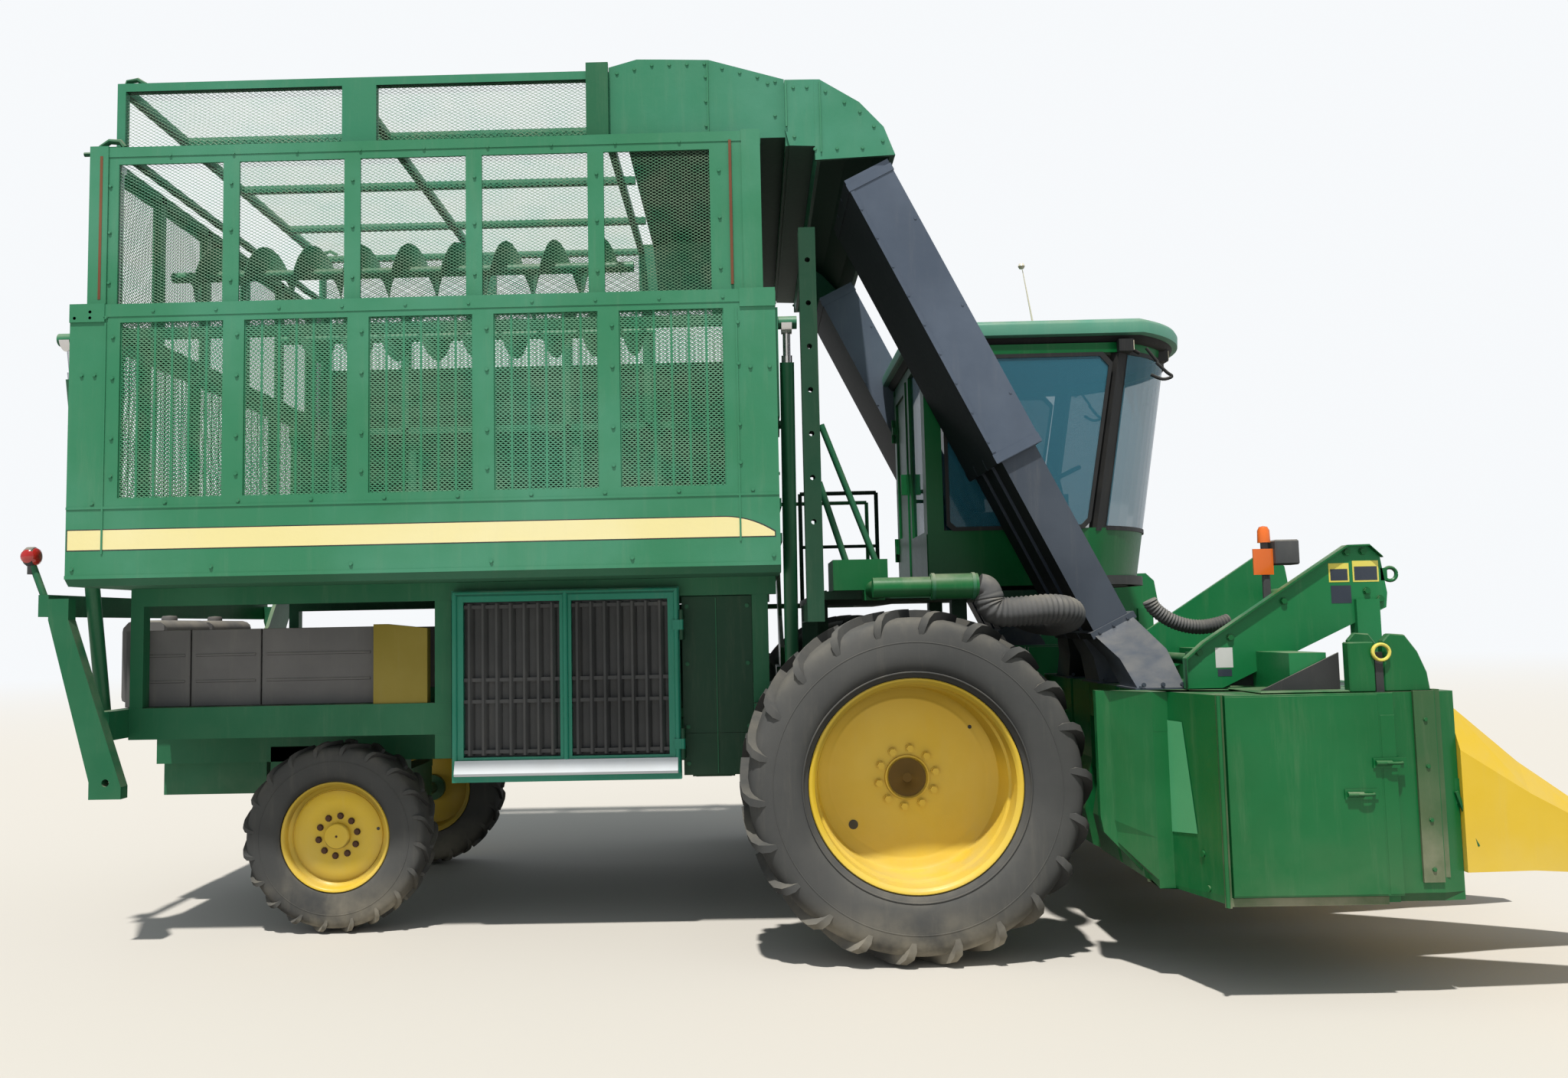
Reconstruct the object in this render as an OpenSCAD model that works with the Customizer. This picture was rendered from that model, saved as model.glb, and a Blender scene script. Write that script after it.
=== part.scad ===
// Six-row self-propelled cotton picker with a telescoping basket.
// +X is forward, +Y is the operator's left, +Z is up, and the wheels stand on Z = 0.
// Lengths are in millimetres. Inside the modules X is measured from the front axle,
// and place() moves the finished piece so that the machine is centred on X = 0.

/* [Running gear] */
// Distance between the front and rear axles
wheelbase = 3450; // [3400:10:3520]
// Front tyre diameter over the lug tips
front_tyre_d = 1900; // [1880:5:1910]
// Front tyre section width
front_tyre_w = 530; // [500:5:540]
// Front rim diameter over the flanges
front_rim_d = 1150; // [1120:5:1170]
// Distance between the front tyre centre planes
front_track = 3860; // [3840:10:3900]
// Rear tyre diameter over the lug tips
rear_tyre_d = 1160; // [1140:5:1165]
// Rear tyre section width
rear_tyre_w = 315; // [300:5:320]
// Rear rim diameter over the flanges
rear_rim_d = 670; // [650:5:680]
// Distance between the rear tyre centre planes
rear_track = 2160; // [2150:10:2200]
// Height of the front lugs
front_lug_h = 46; // [38:1:50]
// Height of the rear lugs
rear_lug_h = 24; // [20:1:28]

/* [Chassis] */
// Height of the top of the main rails
rail_top = 1220; // [1200:5:1230]
// Height of a main rail
rail_h = 240; // [200:5:260]
// Width of a main rail
rail_w = 110; // [90:5:130]
// Distance from the centre line to the middle of a rail
rail_y = 520; // [480:5:540]
// Height of the deck under the cab
deck_top = 2020; // [2000:5:2030]
// Thickness of the deck
deck_t = 50; // [40:2:60]

/* [Basket] */
// Length of the basket
basket_l = 4080; // [4000:10:4080]
// Gap from the front axle back to the basket
basket_back = 690; // [675:1:690]
// Width of the basket
basket_w = 3800; // [3780:10:3820]
// Height of the underside of the basket
basket_bottom = 2125; // [2110:5:2140]
// Height of the top rail of the basket
basket_top = 3755; // [3700:5:3760]
// Depth of the basket walls
wall_t = 50; // [50:1:62]
// Windows along one side of the basket
side_windows = 5; // [4:1:6]
// Width of one side window
window_w = 600; // [560:2:604]

/* [Extension] */
// Height of the top of the sliding extension frame
ext_top = 4715; // [4680:5:4740]
// Height of the roof frame above the sliding extension
roof_rise = 430; // [385:5:445]
// Travel of the extension between raised and lowered
ext_travel = 900; // [800:10:900]
// Clearance between the basket and the extension
ext_gap = 16; // [15:1:24]
// Depth of the extension walls
ext_wall_t = 45; // [40:1:48]

/* [Ducts] */
// Slope of the ducts above the horizontal
duct_angle = 63.7; // [63:0.1:64.5]
// Outside width of an upper duct
duct_w = 288; // [270:2:290]
// Sheet thickness of the ducts
duct_t = 10; // [8:1:14]
// Clearance between the upper and lower ducts
duct_gap = 24; // [22:1:28]

/* [Cab] */
// Width of the cab
cab_w = 1580; // [1540:5:1600]
// Height of the top of the cab roof
cab_top = 3810; // [3780:5:3840]
// Thickness of the cab walls
cab_wall = 50; // [40:2:56]
// Thickness of the window glass
glass_t = 12; // [8:1:16]

/* [Header] */
// Distance between two cotton rows
row_pitch = 965; // [960:1:970]
// Width of one row cabinet
cabinet_w = 915; // [900:1:925]
// Width of the passage for the plants
throat_w = 170; // [150:2:190]
// Height of the underside of the cabinets
cabinet_bottom = 440; // [430:5:450]
// Height of the top of the cabinets
cabinet_top = 1450; // [1430:5:1460]
// Distance from the front axle to the back of the cabinets
header_back = 1140; // [1130:5:1160]
// Length of the cabinets
cabinet_l = 1340; // [1320:10:1380]
// Length of the dividers ahead of the cabinets
divider_l = 1370; // [1300:10:1420]

/* [Hidden] */

green = [0.06, 0.36, 0.12];
teal = [0.02, 0.42, 0.30];
yellow = [0.93, 0.76, 0.10];
slate = [0.14, 0.16, 0.20];
dark = [0.09, 0.09, 0.10];
steel = [0.70, 0.71, 0.72];
round_fn = 48;
seat = 0.3;

front_z = front_tyre_d / 2;
rear_z = rear_tyre_d / 2;
front_y = front_track / 2;
rear_y = rear_track / 2;
rail_bottom = rail_top - rail_h;

basket_x1 = -basket_back;
basket_x0 = basket_x1 - basket_l;
basket_y = basket_w / 2;
window_z = [2625, 3645];
window_pitch = 722;
window_end = 293;
fold_h = 40;

ext_x = [basket_x0 + wall_t + ext_gap, basket_x1 - wall_t - ext_gap];
ext_y = basket_y - wall_t - ext_gap;
ext_bottom = basket_top - 190;
roof_x0 = basket_x0 + 170;
roof_y = ext_y - 90;
roof_top = ext_top + roof_rise;
hood_x0 = basket_x1 - 960;
hood_y = 1720;
hood_t = 25;

pivot = [basket_y - 40, 3580];
lift_pin = [-(basket_y - 120), 3580];
pin_d = 75;
pin_gap = 3;
base_pin_d = 60;
dump_base = [-1300, 1250];
dump_d = 84;
dump_x = [basket_x1 + 65, basket_x0 - 65];
dump_len = norm(lift_pin - dump_base);
dump_angle = atan2(lift_pin[0] - dump_base[0], lift_pin[1] - dump_base[1]);

cab_back = 300;
cab_side_front = 1450;
cab_floor_z = deck_top + 30;
cab_y = cab_w / 2;
cab_sill = 2420;
cab_head = 3640;
screen_r = 860;
screen_x = 1090;

header_front = header_back + cabinet_l;
nose_x = header_front + seat + divider_l;
tail_x = basket_x0 - 400;
rows = [-2.5, -1.5, -0.5, 0.5, 1.5, 2.5];
header_y = 2.5 * row_pitch + cabinet_w / 2;
door_t = 28;
door_x = [header_back + 205, header_front - 315];
arm_len = 1150;
arm_angle = 35.65;
arm_base = [145, 530];
arm_head = arm_base + arm_len * [cos(arm_angle), sin(arm_angle)];

duct_head = [-133, 4496];
duct_pitch = 300;
duct_to_cab = 210;
duct_ys = [for (i = [0 : 2]) cab_w / 2 + duct_to_cab + i * duct_pitch];
hood_wide_y = duct_ys[2] + duct_w / 2 + 21;
boot_ys = [750, 1450, 2150];
duct_upper_l = 1900;
duct_foot_z = 1760;

function arc_points(centre, r, a0, a1, steps) =
    [for (i = [0 : steps]) let (a = a0 + (a1 - a0) * i / steps)
        centre + r * [cos(a), sin(a)]];

module place() translate([-(nose_x + tail_x) / 2, 0, 0]) children();

module both_sides() for (m = [0, 1]) mirror([0, m, 0]) children();

module on_side(side) mirror([0, side == "right" ? 1 : 0, 0]) children();

module span(x, y, z)
    translate([x[0], y[0], z[0]]) cube([x[1] - x[0], y[1] - y[0], z[1] - z[0]]);

module plate_xz(points, y)
    translate([0, y[1], 0]) rotate([90, 0, 0]) linear_extrude(y[1] - y[0]) polygon(points);

module plate_yz(points, x)
    translate([x[0], 0, 0]) rotate([90, 0, 90]) linear_extrude(x[1] - x[0]) polygon(points);

module rod_x(d, x, at)
    translate([x[0], at[0], at[1]]) rotate([0, 90, 0])
        cylinder(d = d, h = x[1] - x[0], $fn = round_fn);

module rod_y(d, y, at)
    translate([at[0], y[1], at[1]]) rotate([90, 0, 0])
        cylinder(d = d, h = y[1] - y[0], $fn = round_fn);

module rod_z(d, z, at)
    translate([at[0], at[1], z[0]]) cylinder(d = d, h = z[1] - z[0], $fn = round_fn);

// A bar of round section between two points
module bar(a, b, d) {
    v = b - a;
    l = norm(v);
    translate(a) rotate([0, acos(v[2] / l), atan2(v[1], v[0])])
        cylinder(d = d, h = l, $fn = round_fn);
}

// Running gear

// One tyre about the Y axis: the bead sits inside the rim flanges, and two rows of slanting
// lugs stand on the tread, with a lug corner straight down
module tyre(d, w, rim_d, lug_h, lugs) {
    bead = rim_d / 2 - 22;
    h = d / 2 - lug_h - bead;
    half = [[bead + seat, 0.36 * w], [rim_d / 2 + 4, 0.36 * w], [rim_d / 2 + 4, 0.36 * w + 22],
        [bead + 0.24 * h, 0.475 * w], [bead + 0.5 * h, 0.5 * w], [bead + 0.82 * h, 0.485 * w],
        [bead + 0.96 * h, 0.43 * w], [bead + h, 0.3 * w]];
    rotate([90, 0, 0]) rotate_extrude($fn = round_fn)
        polygon(concat(half, [for (i = [len(half) - 1 : -1 : 0]) [half[i][0], -half[i][1]]]));
    reach = 0.065 * d;
    thick = 0.033 * d;
    top = sqrt(d * d / 4 - reach * reach);
    for (side = [0, 1]) mirror([0, side, 0]) for (i = [0 : lugs - 1])
        rotate([0, (i + side / 2) * 360 / lugs + asin(2 * reach / d), 0])
            translate([0, 0, -top]) linear_extrude(lug_h + 60) polygon([[-reach, 6],
                [-reach + thick, 6], [reach, 0.46 * w], [reach - thick, 0.46 * w]]);
}

// A rim and its disc, with the outer side of the wheel towards +Y
module rim_and_disc(rim_d, tyre_w, disc_y, disc_r, hub_r, cap_l) {
    bead = rim_d / 2 - 22;
    half = 0.36 * tyre_w;
    sheet = 14;
    slope = abs(disc_y) < half - 60 ? 60 : 30;
    rotate([-90, 0, 0]) difference() {
        union() {
            rotate_extrude($fn = round_fn) polygon([
                [bead - sheet, -half - 18], [rim_d / 2, -half - 18], [rim_d / 2, -half - 2],
                [bead, -half - 2], [bead, half + 2], [rim_d / 2, half + 2],
                [rim_d / 2, half + 18], [bead - sheet, half + 18]]);
            rotate_extrude($fn = round_fn) polygon([
                [0, disc_y], [disc_r, disc_y], [bead - sheet, disc_y + slope],
                [bead - sheet, disc_y + slope + sheet], [disc_r - 6, disc_y + sheet],
                [0, disc_y + sheet]]);
            translate([0, 0, disc_y]) cylinder(r = hub_r, h = cap_l, $fn = round_fn);
        }
        translate([disc_r * 0.72, 0, disc_y - 100]) cylinder(r = 30, h = 300, $fn = round_fn);
    }
}

axle_d = 260;
arm_pin_d = 50;
front_disc_y = -0.36 * front_tyre_w - 6;
rear_disc_y = 0.36 * rear_tyre_w - 50;

module front_tyre(side) {
    color(dark) on_side(side) translate([0, front_y, front_z])
        tyre(front_tyre_d, front_tyre_w, front_rim_d, front_lug_h, 22);
}

module rear_tyre(side) {
    color(dark) on_side(side) translate([-wheelbase, rear_y, rear_z])
        tyre(rear_tyre_d, rear_tyre_w, rear_rim_d, rear_lug_h, 20);
}

module front_wheel(side) {
    color(yellow) on_side(side) translate([0, front_y, front_z])
        rim_and_disc(front_rim_d, front_tyre_w, front_disc_y, 465, 130, 60);
}

module rear_wheel(side) {
    color(yellow) on_side(side) translate([-wheelbase, rear_y, rear_z])
        rim_and_disc(rear_rim_d, rear_tyre_w, rear_disc_y, 205, 80, 70);
}

// Drive axle: round housing, brackets to the rails and a final drive at each end
module front_axle() {
    final_y = front_y + front_disc_y - seat;
    color(green) {
        rod_y(axle_d, [-final_y + 260, final_y - 260], [0, front_z]);
        both_sides() {
            rod_y(520, [final_y - 300, final_y - 60], [0, front_z]);
            rod_y(360, [final_y - 60, final_y], [0, front_z]);
            span([-150, 150], [rail_y - 50, rail_y + 50], [front_z, rail_bottom]);
        }
    }
}

king_y = rear_y - 230;
king_d = 60;
fork_z = 200;

// Rear axle beam on its rocking pin, with a fork for the kingpin at each end
module rear_axle() {
    color(green) translate([-wheelbase, 0, 0]) {
        span([-80, 80], [-king_y + 100, king_y - 100], [rear_z + 20, rear_z + fork_z + 50]);
        span([-110, 110], [-90, 90], [rear_z + fork_z + 50, rail_bottom]);
        span([-110, 110], [-rail_y - 50, rail_y + 50], [rail_bottom - 60, rail_bottom]);
        both_sides() {
            for (z = [rear_z - fork_z - 50, rear_z + fork_z]) difference() {
                union() {
                    rod_z(130, [z, z + 50], [0, king_y]);
                    span([-65, 65], [king_y - 140, king_y], [z, z + 50]);
                }
                rod_z(king_d + 1, [z - 1, z + 51], [0, king_y]);
            }
            span([-65, 65], [king_y - 160, king_y - 90],
                [rear_z - fork_z - 50, rear_z + fork_z + 50]);
        }
    }
}

// Steering knuckle: kingpin, its block and the wheel spindle
module knuckle(side) {
    color(steel) on_side(side) translate([-wheelbase, 0, 0]) {
        rod_z(king_d, [rear_z - fork_z - 50, rear_z + fork_z + 50], [0, king_y]);
        rod_z(120, [rear_z - fork_z + 6, rear_z + fork_z - 6], [0, king_y]);
        rod_y(90, [king_y, rear_y + rear_disc_y - seat], [0, rear_z]);
        rod_y(200, [rear_y + rear_disc_y - 60, rear_y + rear_disc_y - seat], [0, rear_z]);
    }
}

// Chassis

cross_rear = [basket_x0 - 20, basket_x0 + 90];
cross_front = [basket_x1 - 170, basket_x1 - 2];
cross_top = rail_top + 140;
beam_y = [1250, 1330];
beam_z = [1205, 1395];
mid_post_x = [-2800, -2700];
post_y = [1560, 1640];
bearer_z = [basket_bottom - 110, basket_bottom - seat];
mast_foot_y = [820, 1280];

// Bolted frame: each bar is a solid of its own, a hair's breadth from what carries it
module chassis_frame() {
    inside = rail_y - rail_w / 2 - seat;
    outside = rail_y + rail_w / 2 + seat;
    color(green) {
        both_sides() {
            rails();
            span([cross_rear[1] + seat, mid_post_x[1]], beam_y, beam_z);
            slanted_post();
            span(mid_post_x, [outside, beam_y[1]], [1060, beam_z[0] - seat]);
            for (x = [mid_post_x, [basket_x0 + 95, basket_x0 + 175]])
                span(x, beam_y, [beam_z[1] + seat, bearer_z[0]]);
            span([basket_x1 - 170, basket_x1 - 72], beam_y, [cross_top + seat, bearer_z[0]]);
            span([basket_x0 - 100, basket_x0 + 600], [400, inside], [760, rail_bottom + 40]);
        }
        for (x = [basket_x0 - 100, basket_x0 + 560])
            span([x, x + 40], [-400 + seat, 400 - seat], [760, rail_bottom + 40]);
        span(cross_rear, [-post_y[0] + seat, post_y[0] - seat], [rail_top + seat, 1390]);
        span(cross_front, [-1420, 1420], [rail_top + seat, cross_top]);
        for (x = [-2750, -1900, 140])
            span([x, x + 200], [-inside, inside], [rail_bottom, rail_top - 20]);
        hitch();
        lift_brackets();
        // Stubs for the dump cylinders, and feet for the hinge plates on the left
        rod_x(base_pin_d, [cross_front[1] + seat, basket_x1 + 130], dump_base);
        rod_x(base_pin_d, [basket_x0 - 130, cross_rear[0] - seat], dump_base);
        for (x = [[cross_front[1] + seat, basket_x1 + 110], [basket_x0 - 110, cross_rear[0] - seat]])
            span(x, mast_foot_y, [rail_top + seat, cross_top]);
    }
}

// One main rail in three lengths, the middle one arched over the front axle's housing
module rails() {
    y = [rail_y - rail_w / 2, rail_y + rail_w / 2];
    z = [rail_bottom, rail_top];
    span([basket_x0 - 100, -170 - seat], y, z);
    span([170 + seat, 620], y, z);
    difference() {
        span([-170, 170], y, z);
        rod_y(axle_d + 4, y + [-1, 1], [0, front_z]);
    }
}

// Ears and pins that the header's lifting arms turn on
module lift_brackets() {
    foot = arm_base[1] - 60;
    outline = [[arm_base[0] - 60, foot], [arm_base[0] + 60, foot],
        [arm_base[0] + 60, rail_bottom - seat], [140, rail_bottom - seat], [140, 700],
        [arm_base[0] - 60, 600]];
    both_sides() {
        for (y = [[255, 270], [330, 345]]) plate_xz(outline, y);
        rod_y(arm_pin_d, [270 + seat, 330 - seat], arm_base);
    }
}

tie_hole_d = 44;
tie_at = [basket_x0 + 118, 985];

// Leaning rear post, with a hole for a tie-down shackle near its foot
module slanted_post() {
    difference() {
        plate_xz([[basket_x0 - 240, basket_bottom - 60], [basket_x0 - 240, 1940],
            [basket_x0 + 20, 990], [basket_x0 + 20, 890], [basket_x0 + 210, 890],
            [basket_x0 + 210, 960], [basket_x0 - 120, 1940],
            [basket_x0 - 120, basket_bottom - 60]], post_y);
        rod_y(tie_hole_d, post_y + [-1, 1], tie_at);
    }
}

hitch_hole_d = 34;

// Tow clevis at the tail, with a vertical hole for a drawbar pin
module hitch() {
    difference() {
        span([basket_x0 - 230, basket_x0 - 100 - seat], [-80, 80], [780, 820]);
        rod_z(hitch_hole_d, [779, 821], [basket_x0 - 180, 0]);
    }
}

module engine_block() {
    color(dark) span([-2500, -1400], [-400, 400], [rail_top + seat, 1990]);
}

// Moulded tanks on the side beams
module side_tanks() {
    color(slate) both_sides()
        span([basket_x0 + 20, -3190], [720, 1245], [beam_z[1] + seat, 1870]);
}

// Two upright moulded tanks at the tail
module rear_tanks() {
    color(slate) both_sides() plate_xz([[basket_x0 - 290, 1420], [basket_x0 - 250, 1390 + seat],
        [basket_x0 + 10, 1390 + seat], [basket_x0 + 10, 1900], [basket_x0 - 40, 1940],
        [basket_x0 - 230, 1940], [basket_x0 - 290, 1880]], [30, 700]);
}

panel_y = [1260, 1300];

module side_panels() {
    top = basket_bottom - 115;
    bracket_y = [rail_y + rail_w / 2 + seat, panel_y[0] - seat];
    color(green) {
        both_sides() {
            span([-1290, basket_x1 - 172], panel_y, [930, 1180]);
            span([-1290, basket_x1 - 172], panel_y, [1182, top]);
            span([-1290, -1240], bracket_y, [1000, 1200]);
        }
        for (z = intake_hinge_zs) for (low = [z - 60, z + 60]) {
            rod_z(24, [low, low + 60], intake_hinge);
            span([intake_hinge[0], intake_hinge[0] + 12], [intake_hinge[1], -panel_y[0] - 20],
                [low, low + 60]);
        }
        span([-2630, -1292], panel_y, [930, top]);
        span([-2630, -2580], bracket_y, [1000, 1180]);
    }
}

module service_panel() {
    color(yellow) both_sides()
        plate_xz([[-3180, beam_z[1] + seat], [-2850, beam_z[1] + seat], [-2850, 1850],
            [-3110, 1880], [-3180, 1880]], [1240, 1320]);
}

intake_x = [-2680, -1300];
intake_z = [900, 2070];
intake_face = -1400;

// Cooling air box on the right, with its screen face behind the louvred door
module intake_housing() {
    color(green) {
        span([intake_x[0] + 100, intake_x[1] - 100], [intake_face + 90, -rail_y - rail_w / 2 - seat],
            [intake_z[0] + 120, intake_z[1] - 60]);
    }
}

frame_bar = 70;
intake_hinge = [intake_x[1] + 14, intake_face - 14];
intake_hinge_zs = [intake_z[0] + 200, intake_z[1] - 260];

module intake_frame() {
    y = [intake_face, intake_face + 60];
    mid = (intake_x[0] + intake_x[1]) / 2;
    color(teal) difference() {
        span(intake_x, y, intake_z);
        for (x = [[intake_x[0] + frame_bar, mid - frame_bar / 2],
            [mid + frame_bar / 2, intake_x[1] - frame_bar]])
            span(x, [y[0] - 1, y[1] + 1], [intake_z[0] + 2.4 * frame_bar, intake_z[1] - frame_bar]);
    }
    color(green) for (z = intake_hinge_zs) {
        rod_z(24, [z + seat, z + 60 - seat], intake_hinge);
        span([intake_x[1] - 40, intake_hinge[0]], [intake_face - 18, intake_face],
            [z + seat, z + 60 - seat]);
    }
}

module intake_louvres() {
    mid = (intake_x[0] + intake_x[1]) / 2;
    low = intake_z[0] + 2.4 * frame_bar + seat;
    high = intake_z[1] - frame_bar - seat;
    color(dark) for (x = [[intake_x[0] + frame_bar, mid - frame_bar / 2],
        [mid + frame_bar / 2, intake_x[1] - frame_bar]]) {
        w = x[1] - x[0] - 2 * seat;
        translate([x[0] + seat, intake_face + 5, 0]) {
            span([0, w], [40, 50], [low, high]);
            for (i = [0 : 5]) span([i * (w - 24) / 5, i * (w - 24) / 5 + 24], [0, 40], [low, high]);
            for (z = [low, (low + high) / 2 - 12, high - 24]) span([0, w], [5, 40], [z, z + 24]);
        }
    }
}

// Side bearers that the basket rests on when it is down
module basket_bed() {
    color(green) both_sides()
        span([basket_x0 + 95, basket_x1 - 20], beam_y, [bearer_z[0] + seat, bearer_z[1]]);
}

// Plates that carry the basket's hinge pins on the left, each built up from four pieces
module pivot_masts() {
    low = cross_top + seat;
    parts = [[[820, 1500], [1358, 1500], [1580, 1900], [1200, 1900], [820, 1650]],
        [[1200, 1900 + seat], [1580, 1900 + seat], [1940, 2350], [1560, 2350]],
        [[1560, 2350 + seat], [1940, 2350 + seat], [1950, 2750], [1690, 2750]]];
    color(green) for (x = [[basket_x1 + 20, basket_x1 + 110],
        [basket_x0 - 110, basket_x0 - 20]]) {
        plate_yz([[820, low], [1280, low], [1358, 1500 - seat], [820, 1500 - seat]], x);
        for (outline = parts) plate_yz(outline, [x[0] + 30, x[1] - 30]);
        difference() {
            union() {
                plate_yz(concat([[1690, 2750 + seat], [1950, 2750 + seat]],
                    arc_points(pivot, 110, 0, 180, 12)), [x[0] + 30, x[1] - 30]);
                rod_x(220, x, pivot);
            }
            rod_x(pin_d + 2, [x[0] - 1, x[1] + 1], pivot);
        }
    }
}

mast_x = [basket_x1 + 140, basket_x1 + 235];
mast_arm_y = -1110;

// Upright guide at the basket's front right corner, on its outrigger
module guide_mast() {
    y = [-basket_y - 50, -basket_y + 70];
    color(green) {
        difference() {
            span(mast_x, y, [1840, 4090]);
            for (z = [2400 : 250 : 3950])
                rod_y(30, y + [-1, 1], [(mast_x[0] + mast_x[1]) / 2, z]);
        }
        span(mast_x, [y[1] + seat, mast_arm_y], [1840, 1940]);
        span(mast_x, [mast_arm_y - 100, mast_arm_y], [cross_top + seat, 1840 - seat]);
        span([cross_front[1] + seat, mast_x[1]], [mast_arm_y - 100, mast_arm_y],
            [rail_top + 20, cross_top]);
    }
}

// Cross beam at the tail with its round lamps on side arms
module rear_lamp_bar() {
    x = [basket_x0 - 240 - 60, basket_x0 - 240];
    color(green) {
        span(x, [-post_y[1], post_y[1]], [1960, 2090]);
        both_sides() {
            bar([x[0] + 20, 1600, 2060], [tail_x + 30, 1600, 2290], 40);
            rod_x(100, [tail_x, tail_x + 60], [1600, 2320]);
        }
    }
}

// Cab and deck

module deck() {
    z = [deck_top - deck_t, deck_top];
    color(green) {
        span([basket_x1 + 240, cab_back - 60], [-1500, 1500], z);
        span([cab_back - 60, cab_side_front + 60], [-cab_y - 20, cab_y + 20], z);
        both_sides() {
            span([480, 580], [rail_y - 50, rail_y + 50], [rail_top, z[0]]);
            span([basket_x1 + 240, basket_x1 + 340], [rail_y - 50, rail_y + 50], [rail_top, z[0]]);
            for (x = [basket_x1 + 260, cab_back - 90])
                rod_z(34, [deck_top, deck_top + 900], [x, 1470]);
            rod_x(34, [basket_x1 + 260, cab_back - 90], [1470, deck_top + 900]);
            rod_x(28, [basket_x1 + 260, cab_back - 90], [1470, deck_top + 450]);
        }
    }
}

ladder_x = [-1400, -1030];
walk_y = [1990, 2330];

// Walkway over the left front tyre and the ladder behind that tyre
module ladder() {
    rungs = 6;
    foot = 520;
    color(green) {
        span([ladder_x[0], cab_back - 60], walk_y, [deck_top - deck_t, deck_top - 10]);
        span([cab_back - 260, cab_back - 60], [1500 + seat, walk_y[0]], [deck_top - deck_t,
            deck_top - 10]);
        for (x = [ladder_x[0], ladder_x[1] - 30])
            span([x, x + 30], [walk_y[0] + 20, walk_y[0] + 90], [foot, deck_top - deck_t]);
        for (i = [0 : rungs - 1])
            span([ladder_x[0] + 30, ladder_x[1] - 30], [walk_y[0], walk_y[0] + 110],
                [foot + i * 250, foot + i * 250 + 30]);
        for (x = [ladder_x[0] + 20, cab_back - 90])
            rod_z(34, [deck_top - 10, deck_top + 900], [x, walk_y[1] - 20]);
        rod_x(34, [ladder_x[0] + 20, cab_back - 90], [walk_y[1] - 20, deck_top + 900]);
    }
}

module cab_plan(inset) {
    difference() {
        union() {
            translate([cab_back + inset, -cab_y + inset])
                square([cab_side_front - cab_back - inset, cab_w - 2 * inset]);
            intersection() {
                translate([screen_x, 0]) circle(r = screen_r - inset, $fn = 96);
                translate([cab_side_front, -cab_y + inset])
                    square([600, cab_w - 2 * inset]);
            }
        }
    }
}

module cab_floor() {
    color(dark) {
        translate([0, 0, cab_floor_z]) linear_extrude(60) cab_plan(cab_wall + seat);
        both_sides() for (x = [500, 1250])
            rod_z(80, [deck_top + seat, cab_floor_z], [x, cab_y - 180]);
    }
}

cab_window = [[cab_back + 120, cab_sill], [1330, cab_sill], [1480, cab_head - 60],
    [cab_back + 120, cab_head - 60]];
hinge_zs = [cab_floor_z + 300, cab_head - 360];
cab_hinge = [cab_back - 24, 690];
door_y = [60, 680];
door_z = [cab_floor_z + 70, cab_head - 60];

// Cab shell with its windows cut out, in panels that meet at fine seams
module cab_frame() {
    rear_wall = [cab_back - 1, cab_back + cab_wall + 1];
    color(green) difference() {
        translate([0, 0, cab_floor_z]) linear_extrude(cab_head - cab_floor_z) difference() {
            cab_plan(0);
            cab_plan(cab_wall);
        }
        plate_xz(cab_window, [-cab_y - 1, cab_y + 1]);
        translate([0, 0, cab_sill]) linear_extrude(cab_head - cab_sill - 60)
            translate([cab_side_front + 60, -cab_y]) square([600, cab_w]);
        span(rear_wall, door_y, door_z);
        span(rear_wall, [-640, -60], [cab_sill, cab_head - 60]);
        cab_seams();
    }
    color(green) for (z = hinge_zs) for (low = [z - 60, z + 60]) {
        rod_z(24, [low, low + 60], cab_hinge);
        span([cab_hinge[0], cab_back], [cab_hinge[1], cab_hinge[1] + 24], [low, low + 60]);
    }
}

module cab_seams() {
    rear = [0, cab_back + cab_wall];
    for (z = [cab_sill, cab_head - 60]) span([0, 2500], [-cab_w, cab_w], [z - seat, z]);
    span([rear[1], rear[1] + seat], [-cab_w, cab_w], [0, 4000]);
    for (z = [[0, cab_sill], [cab_head - 60, 4000]])
        span([cab_side_front, cab_side_front + seat], [-cab_w, cab_w], z);
    for (y = [-600 : 300 : 600]) span([cab_side_front, 2500], [y, y + seat], [0, 4000]);
    for (y = [door_y[0] - seat, door_y[1]]) span(rear, [y, y + seat], [0, cab_sill]);
    span(rear, door_y, [door_z[0] - seat, door_z[0]]);
}

module cab_door() {
    gap = 5;
    color(green) difference() {
        span([cab_back - 8, cab_back + 32], [door_y[0] + gap, door_y[1] - gap],
            [door_z[0] + gap, door_z[1] - gap]);
        span([cab_back - 9, cab_back + 33], [door_y[0] + 70, door_y[1] - 70],
            [cab_sill + 40, door_z[1] - 80]);
    }
    color(steel) {
        span([cab_back + 8, cab_back + 8 + glass_t], [door_y[0] + 70, door_y[1] - 70],
            [cab_sill + 40, door_z[1] - 80]);
        span([cab_back - 50, cab_back - 8], [door_y[0] + 25, door_y[0] + 45], [2750, 2900]);
    }
    color(green) for (z = hinge_zs) {
        rod_z(24, [z + seat, z + 60 - seat], cab_hinge);
        span([cab_hinge[0] - 8, cab_back - 8], [door_y[1] - 30, cab_hinge[1]],
            [z + seat, z + 60 - seat]);
    }
}

module cab_roof() {
    color(green) difference() {
        union() {
            translate([0, 0, cab_head + seat]) linear_extrude(110) hull_plan(60);
            translate([0, 0, cab_head + 110]) linear_extrude(cab_top - cab_head - 110)
                hull_plan(0);
        }
        translate([0, 0, cab_head - 1]) linear_extrude(60) cab_plan(cab_wall);
    }
}

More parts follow.
